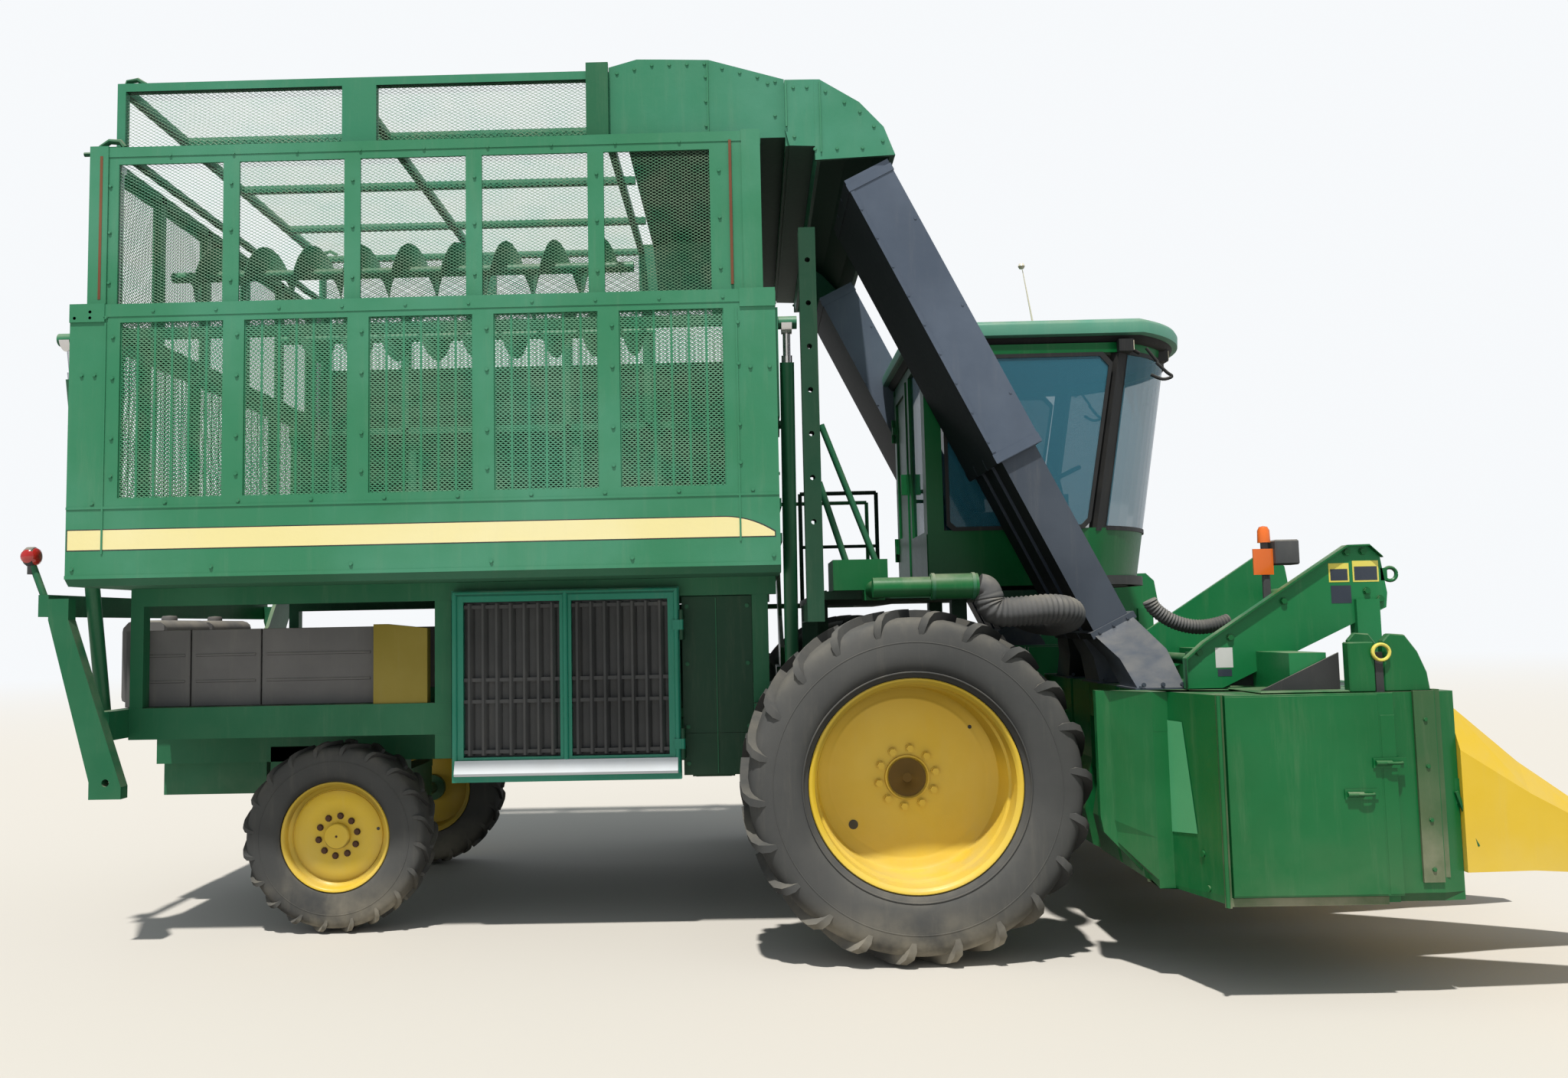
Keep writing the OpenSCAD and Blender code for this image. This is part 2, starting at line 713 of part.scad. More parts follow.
module hull_plan(inset) {
    translate([cab_back - 80 + inset, -cab_y - 40 + inset])
        square([cab_side_front - cab_back + 80 - inset, cab_w + 80 - 2 * inset]);
    intersection() {
        translate([screen_x + 130, 0]) circle(r = 990 - inset, $fn = 96);
        translate([cab_side_front, -cab_y - 40 + inset]) square([900, cab_w + 80 - 2 * inset]);
    }
}

module cab_glass() {
    color([0.25, 0.45, 0.5]) {
        both_sides() plate_xz(cab_window, [cab_y - 30, cab_y - 30 + glass_t]);
        translate([0, 0, cab_sill]) linear_extrude(cab_head - cab_sill - 60) intersection() {
            difference() {
                translate([screen_x, 0]) circle(r = screen_r - 15, $fn = 96);
                translate([screen_x, 0]) circle(r = screen_r - 15 - glass_t, $fn = 96);
            }
            translate([cab_side_front + 60, -cab_y]) square([600, cab_w]);
        }
        span([cab_back + 20, cab_back + 20 + glass_t], [-640, -60], [cab_sill, cab_head - 60]);
    }
}

seat_x = [700, 1180];

module cab_seat() {
    z = cab_floor_z + 60 + seat;
    color(dark) {
        span([seat_x[0] + 80, seat_x[1] - 60], [-180, 180], [z, z + 300]);
        span(seat_x, [-250, 250], [z + 300, z + 430]);
        plate_xz([[seat_x[0] - 90, z + 1050], [seat_x[0] + 20, z + 1050], [seat_x[0] + 120, z + 430],
            [seat_x[0], z + 430]], [-230, 230]);
    }
}

// Steering column with its wheel, and the armrest console
module cab_controls() {
    z = cab_floor_z + 60 + seat;
    color(dark) {
        span([1420, 1540], [-60, 60], [z, z + 20]);
        bar([1480, 0, z + 14], [1340, 0, z + 720], 80);
        translate([1340, 0, z + 720]) rotate([0, -25, 0]) rotate_extrude($fn = round_fn)
            translate([190, 0]) circle(d = 32, $fn = 24);
        translate([1340, 0, z + 720]) rotate([0, -25, 0])
            for (a = [0, 120, 240]) rotate([0, 0, a]) span([0, 190], [-14, 14], [-12, 12]);
        span([900, 1300], [-520, -330], [z, z + 560]);
    }
}

// Blower and air line

air_y = -2050;
air_z = 2020;

module blower() {
    color(green) {
        span([-380, -60], [-1620, -1180], [deck_top + seat, deck_top + 180]);
        span([-200, -80], [-1620, -1502], [air_z - 60, deck_top + 180]);
        rod_y(110, [air_y, -1560], [-140, air_z]);
        rod_x(110, [-195, 120], [air_y, air_z]);
    }
    color(slate) rod_x(138, [120 + seat, 380], [air_y, air_z]);
}

// Basket

module window_row(x, z, count, pitch, w, inset) {
    for (i = [0 : count - 1]) translate([x + i * pitch, 0]) translate([inset, z[0] + inset])
        square([w - 2 * inset, z[1] - z[0] - 2 * inset]);
}

// A wall with windows, seen face on: sheet, frame bars and a coarse grid in each window
module windowed_wall(l, z, count, pitch, w, first, win_z, depth, cols, lines) {
    cell_w = w / cols;
    cell_h = (win_z[1] - win_z[0]) / lines;
    bar_w = 16;
    translate([0, depth, 0]) rotate([90, 0, 0]) {
        linear_extrude(depth) difference() {
            translate([0, z[0]]) square([l, z[1] - z[0]]);
            window_row(first, win_z, count, pitch, w, 0);
        }
        translate([0, 0, depth / 2]) linear_extrude(8) for (n = [0 : count - 1])
            translate([first + n * pitch, win_z[0]]) {
                for (i = [1 : cols - 1]) translate([i * cell_w - bar_w / 2, 0])
                    square([bar_w, win_z[1] - win_z[0]]);
                for (j = [1 : lines - 1]) translate([0, j * cell_h - bar_w / 2])
                    square([w, bar_w]);
            }
    }
}

module basket_floor() {
    color(green) plate_yz([[-basket_y, basket_bottom + fold_h], [-basket_y + fold_h, basket_bottom],
        [basket_y - fold_h, basket_bottom], [basket_y, basket_bottom + fold_h]],
        [basket_x0, basket_x1]);
}

module basket_side(side) {
    color(green) on_side(side) translate([basket_x0, basket_y - wall_t, 0])
        windowed_wall(basket_l, [basket_bottom + fold_h + seat, basket_top], side_windows,
            window_pitch, window_w, window_end, window_z, wall_t, 3, 6);
}

// An end wall, between the two side walls, seen along X
module end_wall(x) {
    l = basket_w - 2 * wall_t - 2 * seat;
    translate([x, -l / 2, 0]) rotate([0, 0, 90]) translate([0, -wall_t, 0])
        windowed_wall(l, [basket_bottom + fold_h + seat, basket_top], 5, 710, window_w,
            (l - 4 * 710 - window_w) / 2, window_z, wall_t, 3, 6);
}

module basket_end_front() {
    color(green) {
        end_wall(basket_x1 - wall_t);
        both_sides() ext_barrel(ext_x[1] - ext_wall_t - 60);
    }
}

module basket_end_rear() {
    color(green) {
        end_wall(basket_x0);
        both_sides() ext_barrel(ext_x[0] + ext_wall_t + 60);
    }
}

rod_d = 40;
rod_at_y = 1690;

// Barrel of one lifting cylinder for the extension
module ext_barrel(x) {
    difference() {
        rod_z(76, [basket_bottom + fold_h + seat, 3500], [x, rod_at_y]);
        rod_z(rod_d + 12, [basket_bottom + 120, 3501], [x, rod_at_y]);
    }
}

module ext_rods() {
    inner = [ext_x[0] + ext_wall_t, ext_x[1] - ext_wall_t];
    color(steel) both_sides() {
        for (x = inner + [60, -60])
            rod_z(rod_d, [ext_top - 60 - ext_travel - 350, ext_top - 60], [x, rod_at_y]);
        for (x = [[inner[0] + seat, inner[0] + 80], [inner[1] - 80, inner[1] - seat]])
            span(x, [rod_at_y - 30, rod_at_y + 30], [ext_top - 100, ext_top - 60]);
    }
}

// Hinge pins on the left and lifting pins on the right, with their wall plates
module basket_pins() {
    color(green) for (end = [0, 1]) {
        wall = end == 0 ? basket_x1 : basket_x0;
        out = end == 0 ? 1 : -1;
        plate = end == 0 ? [wall, wall + 14] : [wall - 14, wall];
        for (at = [pivot, lift_pin]) {
            inward = at[0] > 0 ? -1 : 1;
            plate_yz([at + [-90, 70], at + [90, 70] - [max(0, at[0] + 90 - basket_y), 0],
                at + [60, -560] - [0, 0], at + [-60, -560]], plate);
            rod_x(pin_d, out > 0 ? [wall + 14, wall + 125] : [wall - 125, wall - 14], at);
        }
    }
}

// Extension

module ext_wall_side() {
    l = ext_x[1] - ext_x[0];
    translate([ext_x[0], ext_y - ext_wall_t, 0])
        windowed_wall(l, [ext_bottom, ext_top], 5, 715, 620, 170,
            [ext_bottom + 60, ext_top - 105], ext_wall_t, 3, 5);
}

module ext_wall_end(x) {
    l = 2 * (ext_y - ext_wall_t) - 2 * seat;
    translate([x, -l / 2, 0]) rotate([0, 0, 90]) translate([0, -ext_wall_t, 0])
        windowed_wall(l, [ext_bottom, ext_top], 5, 680, 560, (l - 4 * 680 - 560) / 2,
            [ext_bottom + 60, ext_top - 105], ext_wall_t, 3, 5);
}

module ext_frame() {
    color(green) {
        both_sides() ext_wall_side();
        for (x = [ext_x[0], ext_x[1] - ext_wall_t]) ext_wall_end(x);
    }
}

module ext_roof() {
    z = [ext_top + seat, roof_top];
    bar_t = 50;
    posts = [[roof_x0, roof_x0 + bar_t], [-3245, -3040], [hood_x0 - 130, hood_x0]];
    color(green) {
        both_sides() {
            for (x = posts) span(x, [roof_y - bar_t, roof_y], z);
            span([roof_x0, hood_x0], [roof_y - bar_t, roof_y], [z[1] - bar_t, z[1]]);
            span([roof_x0, hood_x0], [roof_y - bar_t, roof_y], [z[0], z[0] + 30]);
        }
        for (x = posts) span([x[0], x[0] + bar_t], [-roof_y, roof_y], [z[1] - bar_t, z[1]]);
        for (y = [-900, 0, 900])
            span([roof_x0, hood_x0], [y - 25, y + 25], [z[1] - bar_t, z[1]]);
        span([roof_x0, roof_x0 + bar_t], [-roof_y, roof_y], [z[0], z[0] + 30]);
    }
}

hood_seam = basket_x1 + 88;
hood_wide = [[hood_seam, 5048], [hood_seam + 208, 5045], [hood_seam + 440, 4900],
    [hood_seam + 580, 4746], [hood_seam + 644, 4574]];
hood_step = [hood_seam + 172, hood_seam + 183];
hood_lips = [4640, 4556];

// A row of sheets across the hood that follows a line of points, thickness measured inwards
module bent_sheet(outer, inner, half) {
    gap = [seat / 2, 0];
    for (i = [0 : len(outer) - 2])
        plate_xz([outer[i] + gap, outer[i + 1] - gap, inner[i + 1] - gap, inner[i] + gap],
            [-half, half]);
}

// Rounded hood that turns the cotton from the ducts into the basket: a narrow part on the
// extension and a wider mouth ahead of it, open below for the ducts
module ext_hood() {
    floor_z = ext_top + seat;
    top = [[hood_x0 + seat, 5173], [hood_x0 + 170, 5219], [hood_x0 + 310, 5215],
        [hood_x0 + 600, 5204], [hood_seam - seat, 5071]];
    top_in = [for (p = top) p - [0, hood_t]];
    wide_in = [[hood_seam, 5023], [hood_seam + 201, 5020], [hood_seam + 422, 4881],
        [hood_seam + 556, 4733], [hood_seam + 614, 4574]];
    narrow_y = hood_y - hood_t;
    wide_y = hood_wide_y - hood_t;
    color(green) {
        bent_sheet(top, top_in, narrow_y - seat);
        bent_sheet(hood_wide, wide_in, wide_y - seat);
        both_sides() {
            plate_xz(concat(top, [[hood_seam - seat, floor_z], [hood_x0 + seat, floor_z]]),
                [narrow_y, hood_y]);
            plate_xz([[hood_seam, 5048], [hood_step[0], 5046], [hood_step[0], hood_lips[0]],
                [hood_seam + 22, 4647], [hood_seam, 4740]], [wide_y, hood_wide_y]);
            plate_xz([[hood_step[0] + seat, 5046], hood_wide[1], hood_wide[2], hood_wide[3],
                hood_wide[4], [hood_step[1], hood_lips[1]], [hood_step[0] + seat, hood_lips[1]]],
                [wide_y, hood_wide_y]);
            span([hood_seam, hood_seam + hood_t], [narrow_y, wide_y - seat], [4760, 5015]);
        }
        span([ext_x[1] - 20, hood_seam - seat], [-narrow_y + seat, narrow_y - seat],
            [floor_z, floor_z + 20]);
        span([hood_seam, hood_seam + 22 - seat], [-wide_y + seat, wide_y - seat],
            [4655, floor_z + 20]);
        plate_xz([[hood_seam + 22, 4647], [hood_step[0] - seat, hood_lips[0]],
            [hood_step[0] - seat, hood_lips[0] + 20], [hood_seam + 22, 4667]],
            [-wide_y + seat, wide_y - seat]);
        plate_xz([[hood_step[0], 4660], [hood_step[1], hood_lips[1]], [hood_step[1] + 20,
            hood_lips[1]], [hood_step[0] + 20, 4660]], [-wide_y + seat, wide_y - seat]);
    }
}

auger_y = 900;
auger_z = 4200;
auger_r = 190;

module auger(side) {
    x = [ext_x[0] + ext_wall_t + seat, hood_x0 + 60];
    color(green) on_side(side) {
        rod_x(70, x, [auger_y, auger_z]);
        for (i = [0 : 6]) rod_x(2 * auger_r, [-3700 + i * 320, -3700 + i * 320 + 12],
            [auger_y, auger_z]);
    }
}

// Dump cylinders: the barrels turn about the base pins, the two stages slide out of them

stage_d = 62;
inner_d = 44;

module dump_line() {
    for (x = dump_x) translate([x, dump_base[0], dump_base[1]]) rotate([-dump_angle, 0, 0])
        children();
}

module dump_barrels() {
    color([0.10, 0.55, 0.14]) dump_line() difference() {
        union() {
            rotate([0, 90, 0]) cylinder(d = 110, h = 70, center = true, $fn = round_fn);
            cylinder(d = dump_d, h = 2150, $fn = round_fn);
        }
        rotate([0, 90, 0]) cylinder(d = base_pin_d + 2 * pin_gap, h = dump_d + 4,
            center = true, $fn = round_fn);
        translate([0, 0, 100]) cylinder(d = stage_d + 2, h = 2100, $fn = round_fn);
    }
}

module dump_stages() {
    color(steel) dump_line() difference() {
        translate([0, 0, 150]) cylinder(d = stage_d, h = 2040, $fn = round_fn);
        translate([0, 0, 180]) cylinder(d = inner_d + 2, h = 2100, $fn = round_fn);
    }
}

// Inner rods, each ending in an open cradle under the basket's lifting pin
module dump_rods() {
    color(steel) dump_line() difference() {
        union() {
            translate([0, 0, 200]) cylinder(d = inner_d, h = dump_len - 250, $fn = round_fn);
            translate([0, 0, dump_len]) rotate([0, 90, 0])
                cylinder(d = pin_d + 60, h = 60, center = true, $fn = round_fn);
        }
        translate([0, 0, dump_len]) rotate([0, 90, 0])
            cylinder(d = pin_d + 2 * pin_gap, h = 62, center = true, $fn = round_fn);
        translate([-40, -100, dump_len]) cube([80, 200, 200]);
    }
}

// Ducts

// A frame that runs down a duct from its head: children use Z along the duct
module along_duct(y) {
    translate([duct_head[0], y, duct_head[1]]) rotate([0, 90 + duct_angle, 0]) children();
}

module square_tube(w, t, l) {
    linear_extrude(l) difference() {
        square([w, w], center = true);
        square([w - 2 * t, w - 2 * t], center = true);
    }
}

module ducts_upper() {
    color(slate) both_sides() for (y = duct_ys) along_duct(y)
        square_tube(duct_w, duct_t, duct_upper_l);
}

lower_w = duct_w - 2 * duct_t - 2 * duct_gap;

module ducts_lower() {
    start = duct_upper_l - 560;
    stop = (duct_head[1] - duct_foot_z) / sin(duct_angle);
    foot_x = duct_head[0] + stop * cos(duct_angle);
    color(slate) both_sides() for (i = [0 : 2]) {
        along_duct(duct_ys[i]) translate([0, 0, start])
            square_tube(lower_w, duct_t, stop - start);
        hull() {
            along_duct(duct_ys[i]) translate([0, 0, stop - 30]) linear_extrude(30)
                square([lower_w + 24, lower_w + 24], center = true);
            span([foot_x - 20, foot_x + 330], [boot_ys[i] - 150, boot_ys[i] + 150],
                [cabinet_top + seat, cabinet_top + 30]);
        }
    }
}

// Header

arm_y = 300;
arm_t = 50;

module lift_arms() {
    side = [-sin(arm_angle), cos(arm_angle)];
    color(green) both_sides() difference() {
        union() {
            plate_xz([arm_base + 65 * side, arm_base - 65 * side, arm_head - 55 * side,
                arm_head + 55 * side], [arm_y - arm_t / 2, arm_y + arm_t / 2]);
            rod_y(130, [arm_y - arm_t / 2, arm_y + arm_t / 2], arm_base);
            rod_y(110, [arm_y - arm_t / 2, arm_y + arm_t / 2], arm_head);
        }
        for (at = [arm_base, arm_head])
            rod_y(arm_pin_d + 0.4, [arm_y - arm_t, arm_y + arm_t], at);
    }
}

tool_x = [1750, 1930];
tool_z = [cabinet_top + seat, 1640];

module header_frame() {
    plate = [[1380, 1455], [1570, 1455], [2435, 1856], [2444, 1931], [2416, 2123], [2352, 2185],
        [2237, 2183], [1478, 1696], [1380, 1612]];
    hanger = [[arm_head[0] - 50, arm_head[1] - 60], [arm_head[0] + 50, arm_head[1] - 60],
        [arm_head[0] + 50, cabinet_top + 10], [tool_x[0], cabinet_top + 10], [tool_x[0], 1640],
        [arm_head[0] - 50, 1640]];
    color(green) {
        span(tool_x, [-2750, 2750], tool_z);
        both_sides() {
            for (y = [1215, 2350]) {
                plate_xz(plate, [y - 15, y + 15]);
                span([2270, 2390], [y - 40, y + 40], [cabinet_top + seat, 1900]);
            }
            for (y = [arm_y - arm_t / 2 - 35, arm_y + arm_t / 2 + 10])
                plate_xz(hanger, [y, y + 25]);
            rod_y(arm_pin_d, [arm_y - 60, arm_y + 60], arm_head);
        }
    }
}

// Six cabinets, each with a passage along X for its row of plants
module row_cabinets() {
    color(green) for (r = rows) {
        y = r * row_pitch;
        difference() {
            plate_xz([[header_back, 490], [header_back + 100, cabinet_bottom],
                [header_front, cabinet_bottom], [header_front, cabinet_top],
                [header_back + 15, cabinet_top], [header_back + 15, 1000], [header_back - 40, 700]],
                [y - cabinet_w / 2, y + cabinet_w / 2]);
            span([header_back - 50, header_front + 10], [y - throat_w / 2, y + throat_w / 2],
                [cabinet_bottom - 10, 1250]);
        }
    }
    color(green) both_sides()
        span([door_x[0] - 15, door_x[0] + 15], [header_y - 1, header_y + door_t],
            [cabinet_bottom, cabinet_bottom + 20 - seat]);
}

// One divider between two rows: five cross sections down to its point
module divider(half) {
    // distance ahead, top, bottom, share of the half width
    table = [[0, 1395, 600, 1], [330, 1100, 600, 0.87], [660, 865, 575, 0.66],
        [1060, 620, 440, 0.38], [divider_l, 400, 330, 0.1]];
    n = len(table);
    points = [for (s = table, p = [[-1, 0], [-1, 0.72], [-0.45, 1], [0.45, 1], [1, 0.72], [1, 0]])
        [header_front + seat + s[0], p[0] * s[3] * half, s[2] + p[1] * (s[1] - s[2])]];
    sides = [for (s = [0 : n - 2], i = [0 : 5])
        [s * 6 + i, s * 6 + (i + 1) % 6, (s + 1) * 6 + (i + 1) % 6, (s + 1) * 6 + i]];
    ends = [[5, 4, 3, 2, 1, 0], [for (i = [0 : 5]) (n - 1) * 6 + i]];
    polyhedron(points, concat(sides, ends), convexity = 4);
}

module row_dividers() {
    full = row_pitch / 2 - throat_w / 2 - 10;
    edge = header_y - (2.5 * row_pitch + throat_w / 2) - 10;
    color(yellow) {
        for (n = [-2 : 2]) translate([0, n * row_pitch, 0]) divider(full);
        both_sides() translate([0, header_y - edge / 2, 0]) divider(edge / 2);
    }
}

module header_door(side) {
    color(green) on_side(side) {
        span(door_x, [header_y + 5, header_y + door_t], [cabinet_bottom + 20, cabinet_top]);
        rod_z(20, [cabinet_bottom + 20, cabinet_top], [door_x[0], header_y + door_t - 10]);
    }
}

place() chassis_frame();
place() front_axle();
place() rear_axle();
place() engine_block();
place() side_tanks();
place() rear_tanks();
place() side_panels();
place() service_panel();
place() intake_housing();
place() intake_frame();
place() intake_louvres();
place() basket_bed();
place() pivot_masts();
place() guide_mast();
place() rear_lamp_bar();
place() deck();
place() ladder();
place() cab_floor();
place() cab_frame();
place() cab_roof();
place() cab_glass();
place() cab_seat();
place() cab_controls();
place() cab_door();
place() blower();
place() knuckle("right");  // knuckle_right
place() knuckle("left");  // knuckle_left
place() front_tyre("right");  // front_tyre_right
place() front_wheel("right");  // front_wheel_right
place() front_tyre("left");  // front_tyre_left
place() front_wheel("left");  // front_wheel_left
place() rear_tyre("right");  // rear_tyre_right
place() rear_wheel("right");  // rear_wheel_right
place() rear_tyre("left");  // rear_tyre_left
place() rear_wheel("left");  // rear_wheel_left
place() basket_floor();
place() basket_side("right");  // basket_side_right
place() basket_side("left");  // basket_side_left
place() basket_end_front();
place() basket_end_rear();
place() basket_pins();
place() ext_frame();
place() ext_roof();
place() ext_hood();
place() ext_rods();
place() auger("right");  // auger_right
place() auger("left");  // auger_left
place() dump_barrels();
place() dump_stages();
place() dump_rods();
place() ducts_upper();
place() ducts_lower();
place() lift_arms();
place() header_frame();
place() row_cabinets();
place() row_dividers();
place() header_door("right");  // header_door_right
place() header_door("left");  // header_door_left
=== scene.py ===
import math

import bmesh
import bpy
from mathutils import Matrix, Vector


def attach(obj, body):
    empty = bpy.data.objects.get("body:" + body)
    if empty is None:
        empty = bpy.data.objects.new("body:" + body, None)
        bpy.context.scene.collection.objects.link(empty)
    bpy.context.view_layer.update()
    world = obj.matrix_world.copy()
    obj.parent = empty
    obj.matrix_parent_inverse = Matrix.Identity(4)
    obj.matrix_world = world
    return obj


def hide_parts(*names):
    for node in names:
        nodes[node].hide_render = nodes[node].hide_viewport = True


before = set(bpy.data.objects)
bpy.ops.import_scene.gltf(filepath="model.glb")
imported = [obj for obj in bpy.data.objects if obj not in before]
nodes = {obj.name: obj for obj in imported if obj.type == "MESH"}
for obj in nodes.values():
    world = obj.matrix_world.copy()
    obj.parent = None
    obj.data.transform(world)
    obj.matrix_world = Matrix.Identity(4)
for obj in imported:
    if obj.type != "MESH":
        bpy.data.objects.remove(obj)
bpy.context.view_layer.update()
AXLE_X = 0.65985          # the front axle's place along the machine

# The machine stands on a plain pale floor, under one broad sun and an even sky.
# The camera stands at eye level, about nine metres off the machine's right side.

PHOTO_W = 2048
PHOTO_H = 1408
FOCAL_PX = 1593
CENTRE_PX = (950.9, 694.0)
YAW = math.radians(-0.943)
PITCH = math.radians(4.405)
ROLL = math.radians(1.149)
STANDPOINT = (AXLE_X - 0.873, -8.776, 1.830)

ahead = Vector((math.sin(YAW) * math.cos(PITCH), math.cos(YAW) * math.cos(PITCH), math.sin(PITCH)))
level = Vector((math.cos(YAW), -math.sin(YAW), 0))
upward = level.cross(ahead)
right = math.cos(ROLL) * level - math.sin(ROLL) * upward
upward = right.cross(ahead)
camera_data = bpy.data.cameras.new("camera")
camera_data.sensor_width = 36
camera_data.lens = 36 * FOCAL_PX / PHOTO_W
camera_data.shift_x = (PHOTO_W / 2 - CENTRE_PX[0]) / PHOTO_W
camera_data.shift_y = (CENTRE_PX[1] - PHOTO_H / 2) / PHOTO_W
camera_data.clip_end = 300
camera = bpy.data.objects.new("camera", camera_data)
camera.matrix_world = Matrix.Translation(STANDPOINT) @ Matrix(
    (right, upward, -ahead)).transposed().to_4x4()
bpy.context.scene.collection.objects.link(camera)
bpy.context.scene.camera = camera

sun_data = bpy.data.lights.new("sun", "SUN")
sun_data.energy = 3.9
sun_data.angle = math.radians(2)
sun_data.color = (1.0, 0.97, 0.92)
sun = bpy.data.objects.new("sun", sun_data)
sun.rotation_euler = (math.radians(23), 0, math.radians(-12))
bpy.context.scene.collection.objects.link(sun)

bpy.context.scene.view_settings.view_transform = "Standard"


class Value:
    """A node's output, so that shader maths can be written as Python expressions."""

    def __init__(self, finish, socket):
        self.finish = finish
        self.socket = socket

    def maths(self, operation, *inputs):
        return self.finish.node("ShaderNodeMath", {"operation": operation}, *inputs)

    def __add__(self, other):
        return self.maths("ADD", self, other)

    def __sub__(self, other):
        return self.maths("SUBTRACT", self, other)

    def __rsub__(self, other):
        return self.maths("SUBTRACT", other, self)

    def __mul__(self, other):
        return self.maths("MULTIPLY", self, other)

    __radd__ = __add__
    __rmul__ = __mul__

    def ramp(self, low, high):
        """0 below low, 1 above high, smooth between."""
        return self.finish.node("ShaderNodeMapRange", {"interpolation_type": "SMOOTHSTEP"},
                                self, low, high, 0.0, 1.0)

    def either(self, other):
        """Whichever of the two is larger."""
        return self.maths("MAXIMUM", self, other)


class Finish:
    """A material that is put together node by node."""

    def __init__(self, name):
        self.material = bpy.data.materials.new(name)
        self.material.use_nodes = True
        self.tree = self.material.node_tree
        self.shader = self.tree.nodes["Principled BSDF"]

    def node(self, kind, settings=None, *inputs, out=0, **named):
        made = self.tree.nodes.new(kind)
        for key, value in (settings or {}).items():
            setattr(made, key, value)
        for key, value in [*enumerate(inputs), *named.items()]:
            if value is not None:
                self.join(value, made.inputs[key])
        return Value(self, made.outputs[out])

    def join(self, value, socket):
        if isinstance(value, Value):
            self.tree.links.new(value.socket, socket)
        elif isinstance(value, tuple) and socket.type == "RGBA":
            socket.default_value = (*value[:3], 1)
        else:
            socket.default_value = value

    def set(self, **values):
        """Sets the shader's sockets; an underscore stands for a space."""
        for key, value in values.items():
            self.join(value, self.shader.inputs[key.replace("_", " ")])
        return self

    def place(self, x=1.0, y=1.0, z=1.0):
        """The piece's own coordinates in metres, stretched along each axis."""
        own = self.node("ShaderNodeTexCoord", out="Object")
        return self.node("ShaderNodeMapping", None, own, Scale=(x, y, z))

    def noise(self, scale, detail=4.0, rough=0.55, at=None):
        return self.node("ShaderNodeTexNoise", None, Vector=at or self.place(), Scale=scale,
                         Detail=detail, Roughness=rough)

    def facing_up(self):
        """1 where the surface faces up, 0 where it faces down."""
        own = self.node("ShaderNodeTexCoord", out="Normal")
        return self.node("ShaderNodeSeparateXYZ", None, own, out="Z").ramp(-0.1, 0.9)

    def facing_down(self):
        """1 where the surface faces down, 0 where it is upright or faces up."""
        own = self.node("ShaderNodeTexCoord", out="Normal")
        return 1.0 - self.node("ShaderNodeSeparateXYZ", None, own, out="Z").ramp(-0.45, -0.02)

    def height(self):
        own = self.node("ShaderNodeTexCoord", out="Object")
        return self.node("ShaderNodeSeparateXYZ", None, own, out="Z")

    def mix(self, share, first, second):
        made = self.tree.nodes.new("ShaderNodeMix")
        made.data_type = "RGBA"
        for value, key in ((share, 0), (first, 6), (second, 7)):
            self.join(value, made.inputs[key])
        return Value(self, made.outputs[2])

    def bump(self, height, distance, strength=1.0):
        normal = self.node("ShaderNodeBump", None, Height=height, Distance=distance,
                           Strength=strength, out="Normal")
        self.join(normal, self.shader.inputs["Normal"])


FLOOR_COLOR = (0.60, 0.57, 0.52)
SKY_COLOR = (0.93, 0.95, 0.97)
FLOOR_R = 90.0

world = bpy.data.worlds.new("sky")
bpy.context.scene.world = world
world.use_nodes = True
tree = world.node_tree
seen = tree.nodes.new("ShaderNodeLightPath")
direct = tree.nodes.new("ShaderNodeMath")
direct.operation = "MAXIMUM"
tree.links.new(seen.outputs["Is Camera Ray"], direct.inputs[0])
tree.links.new(seen.outputs["Is Transmission Ray"], direct.inputs[1])
lit = tree.nodes["Background"]
lit.inputs["Color"].default_value = (0.86, 0.93, 1.0, 1)
lit.inputs["Strength"].default_value = 0.46
shown = tree.nodes.new("ShaderNodeBackground")
shown.inputs["Color"].default_value = (*SKY_COLOR, 1)
shown.inputs["Strength"].default_value = 1.0
either = tree.nodes.new("ShaderNodeMixShader")
tree.links.new(direct.outputs[0], either.inputs[0])
tree.links.new(lit.outputs[0], either.inputs[1])
tree.links.new(shown.outputs[0], either.inputs[2])
tree.links.new(either.outputs[0], tree.nodes["World Output"].inputs["Surface"])

floor_mesh = bpy.data.meshes.new("floor")
build = bmesh.new()
bmesh.ops.create_circle(build, cap_ends=True, segments=96, radius=FLOOR_R)
build.to_mesh(floor_mesh)
build.free()
floor = bpy.data.objects.new("floor", floor_mesh)
bpy.context.scene.collection.objects.link(floor)
pale = Finish("pale_floor")
pale.set(Base_Color=FLOOR_COLOR, Roughness=0.9)
spot = pale.node("ShaderNodeVectorMath", {"operation": "LENGTH"},
                 pale.node("ShaderNodeTexCoord", out="Object"), out="Value")
haze = pale.node("ShaderNodeEmission", None, (*SKY_COLOR, 1), 1.0)
fade = pale.node("ShaderNodeMixShader", None, spot.ramp(9, 60),
                 Value(pale, pale.shader.outputs[0]), haze)
pale.join(fade, pale.tree.nodes["Material Output"].inputs["Surface"])
floor_mesh.materials.append(pale.material)

# The body is folded and welded sheet steel under two coats of farm green. The basket has
# faded in the sun, the header keeps its depth of colour, and dust lies on what faces up. Every
# paint also carries painted shade on the faces that point down.

DUST = (0.46, 0.41, 0.31)


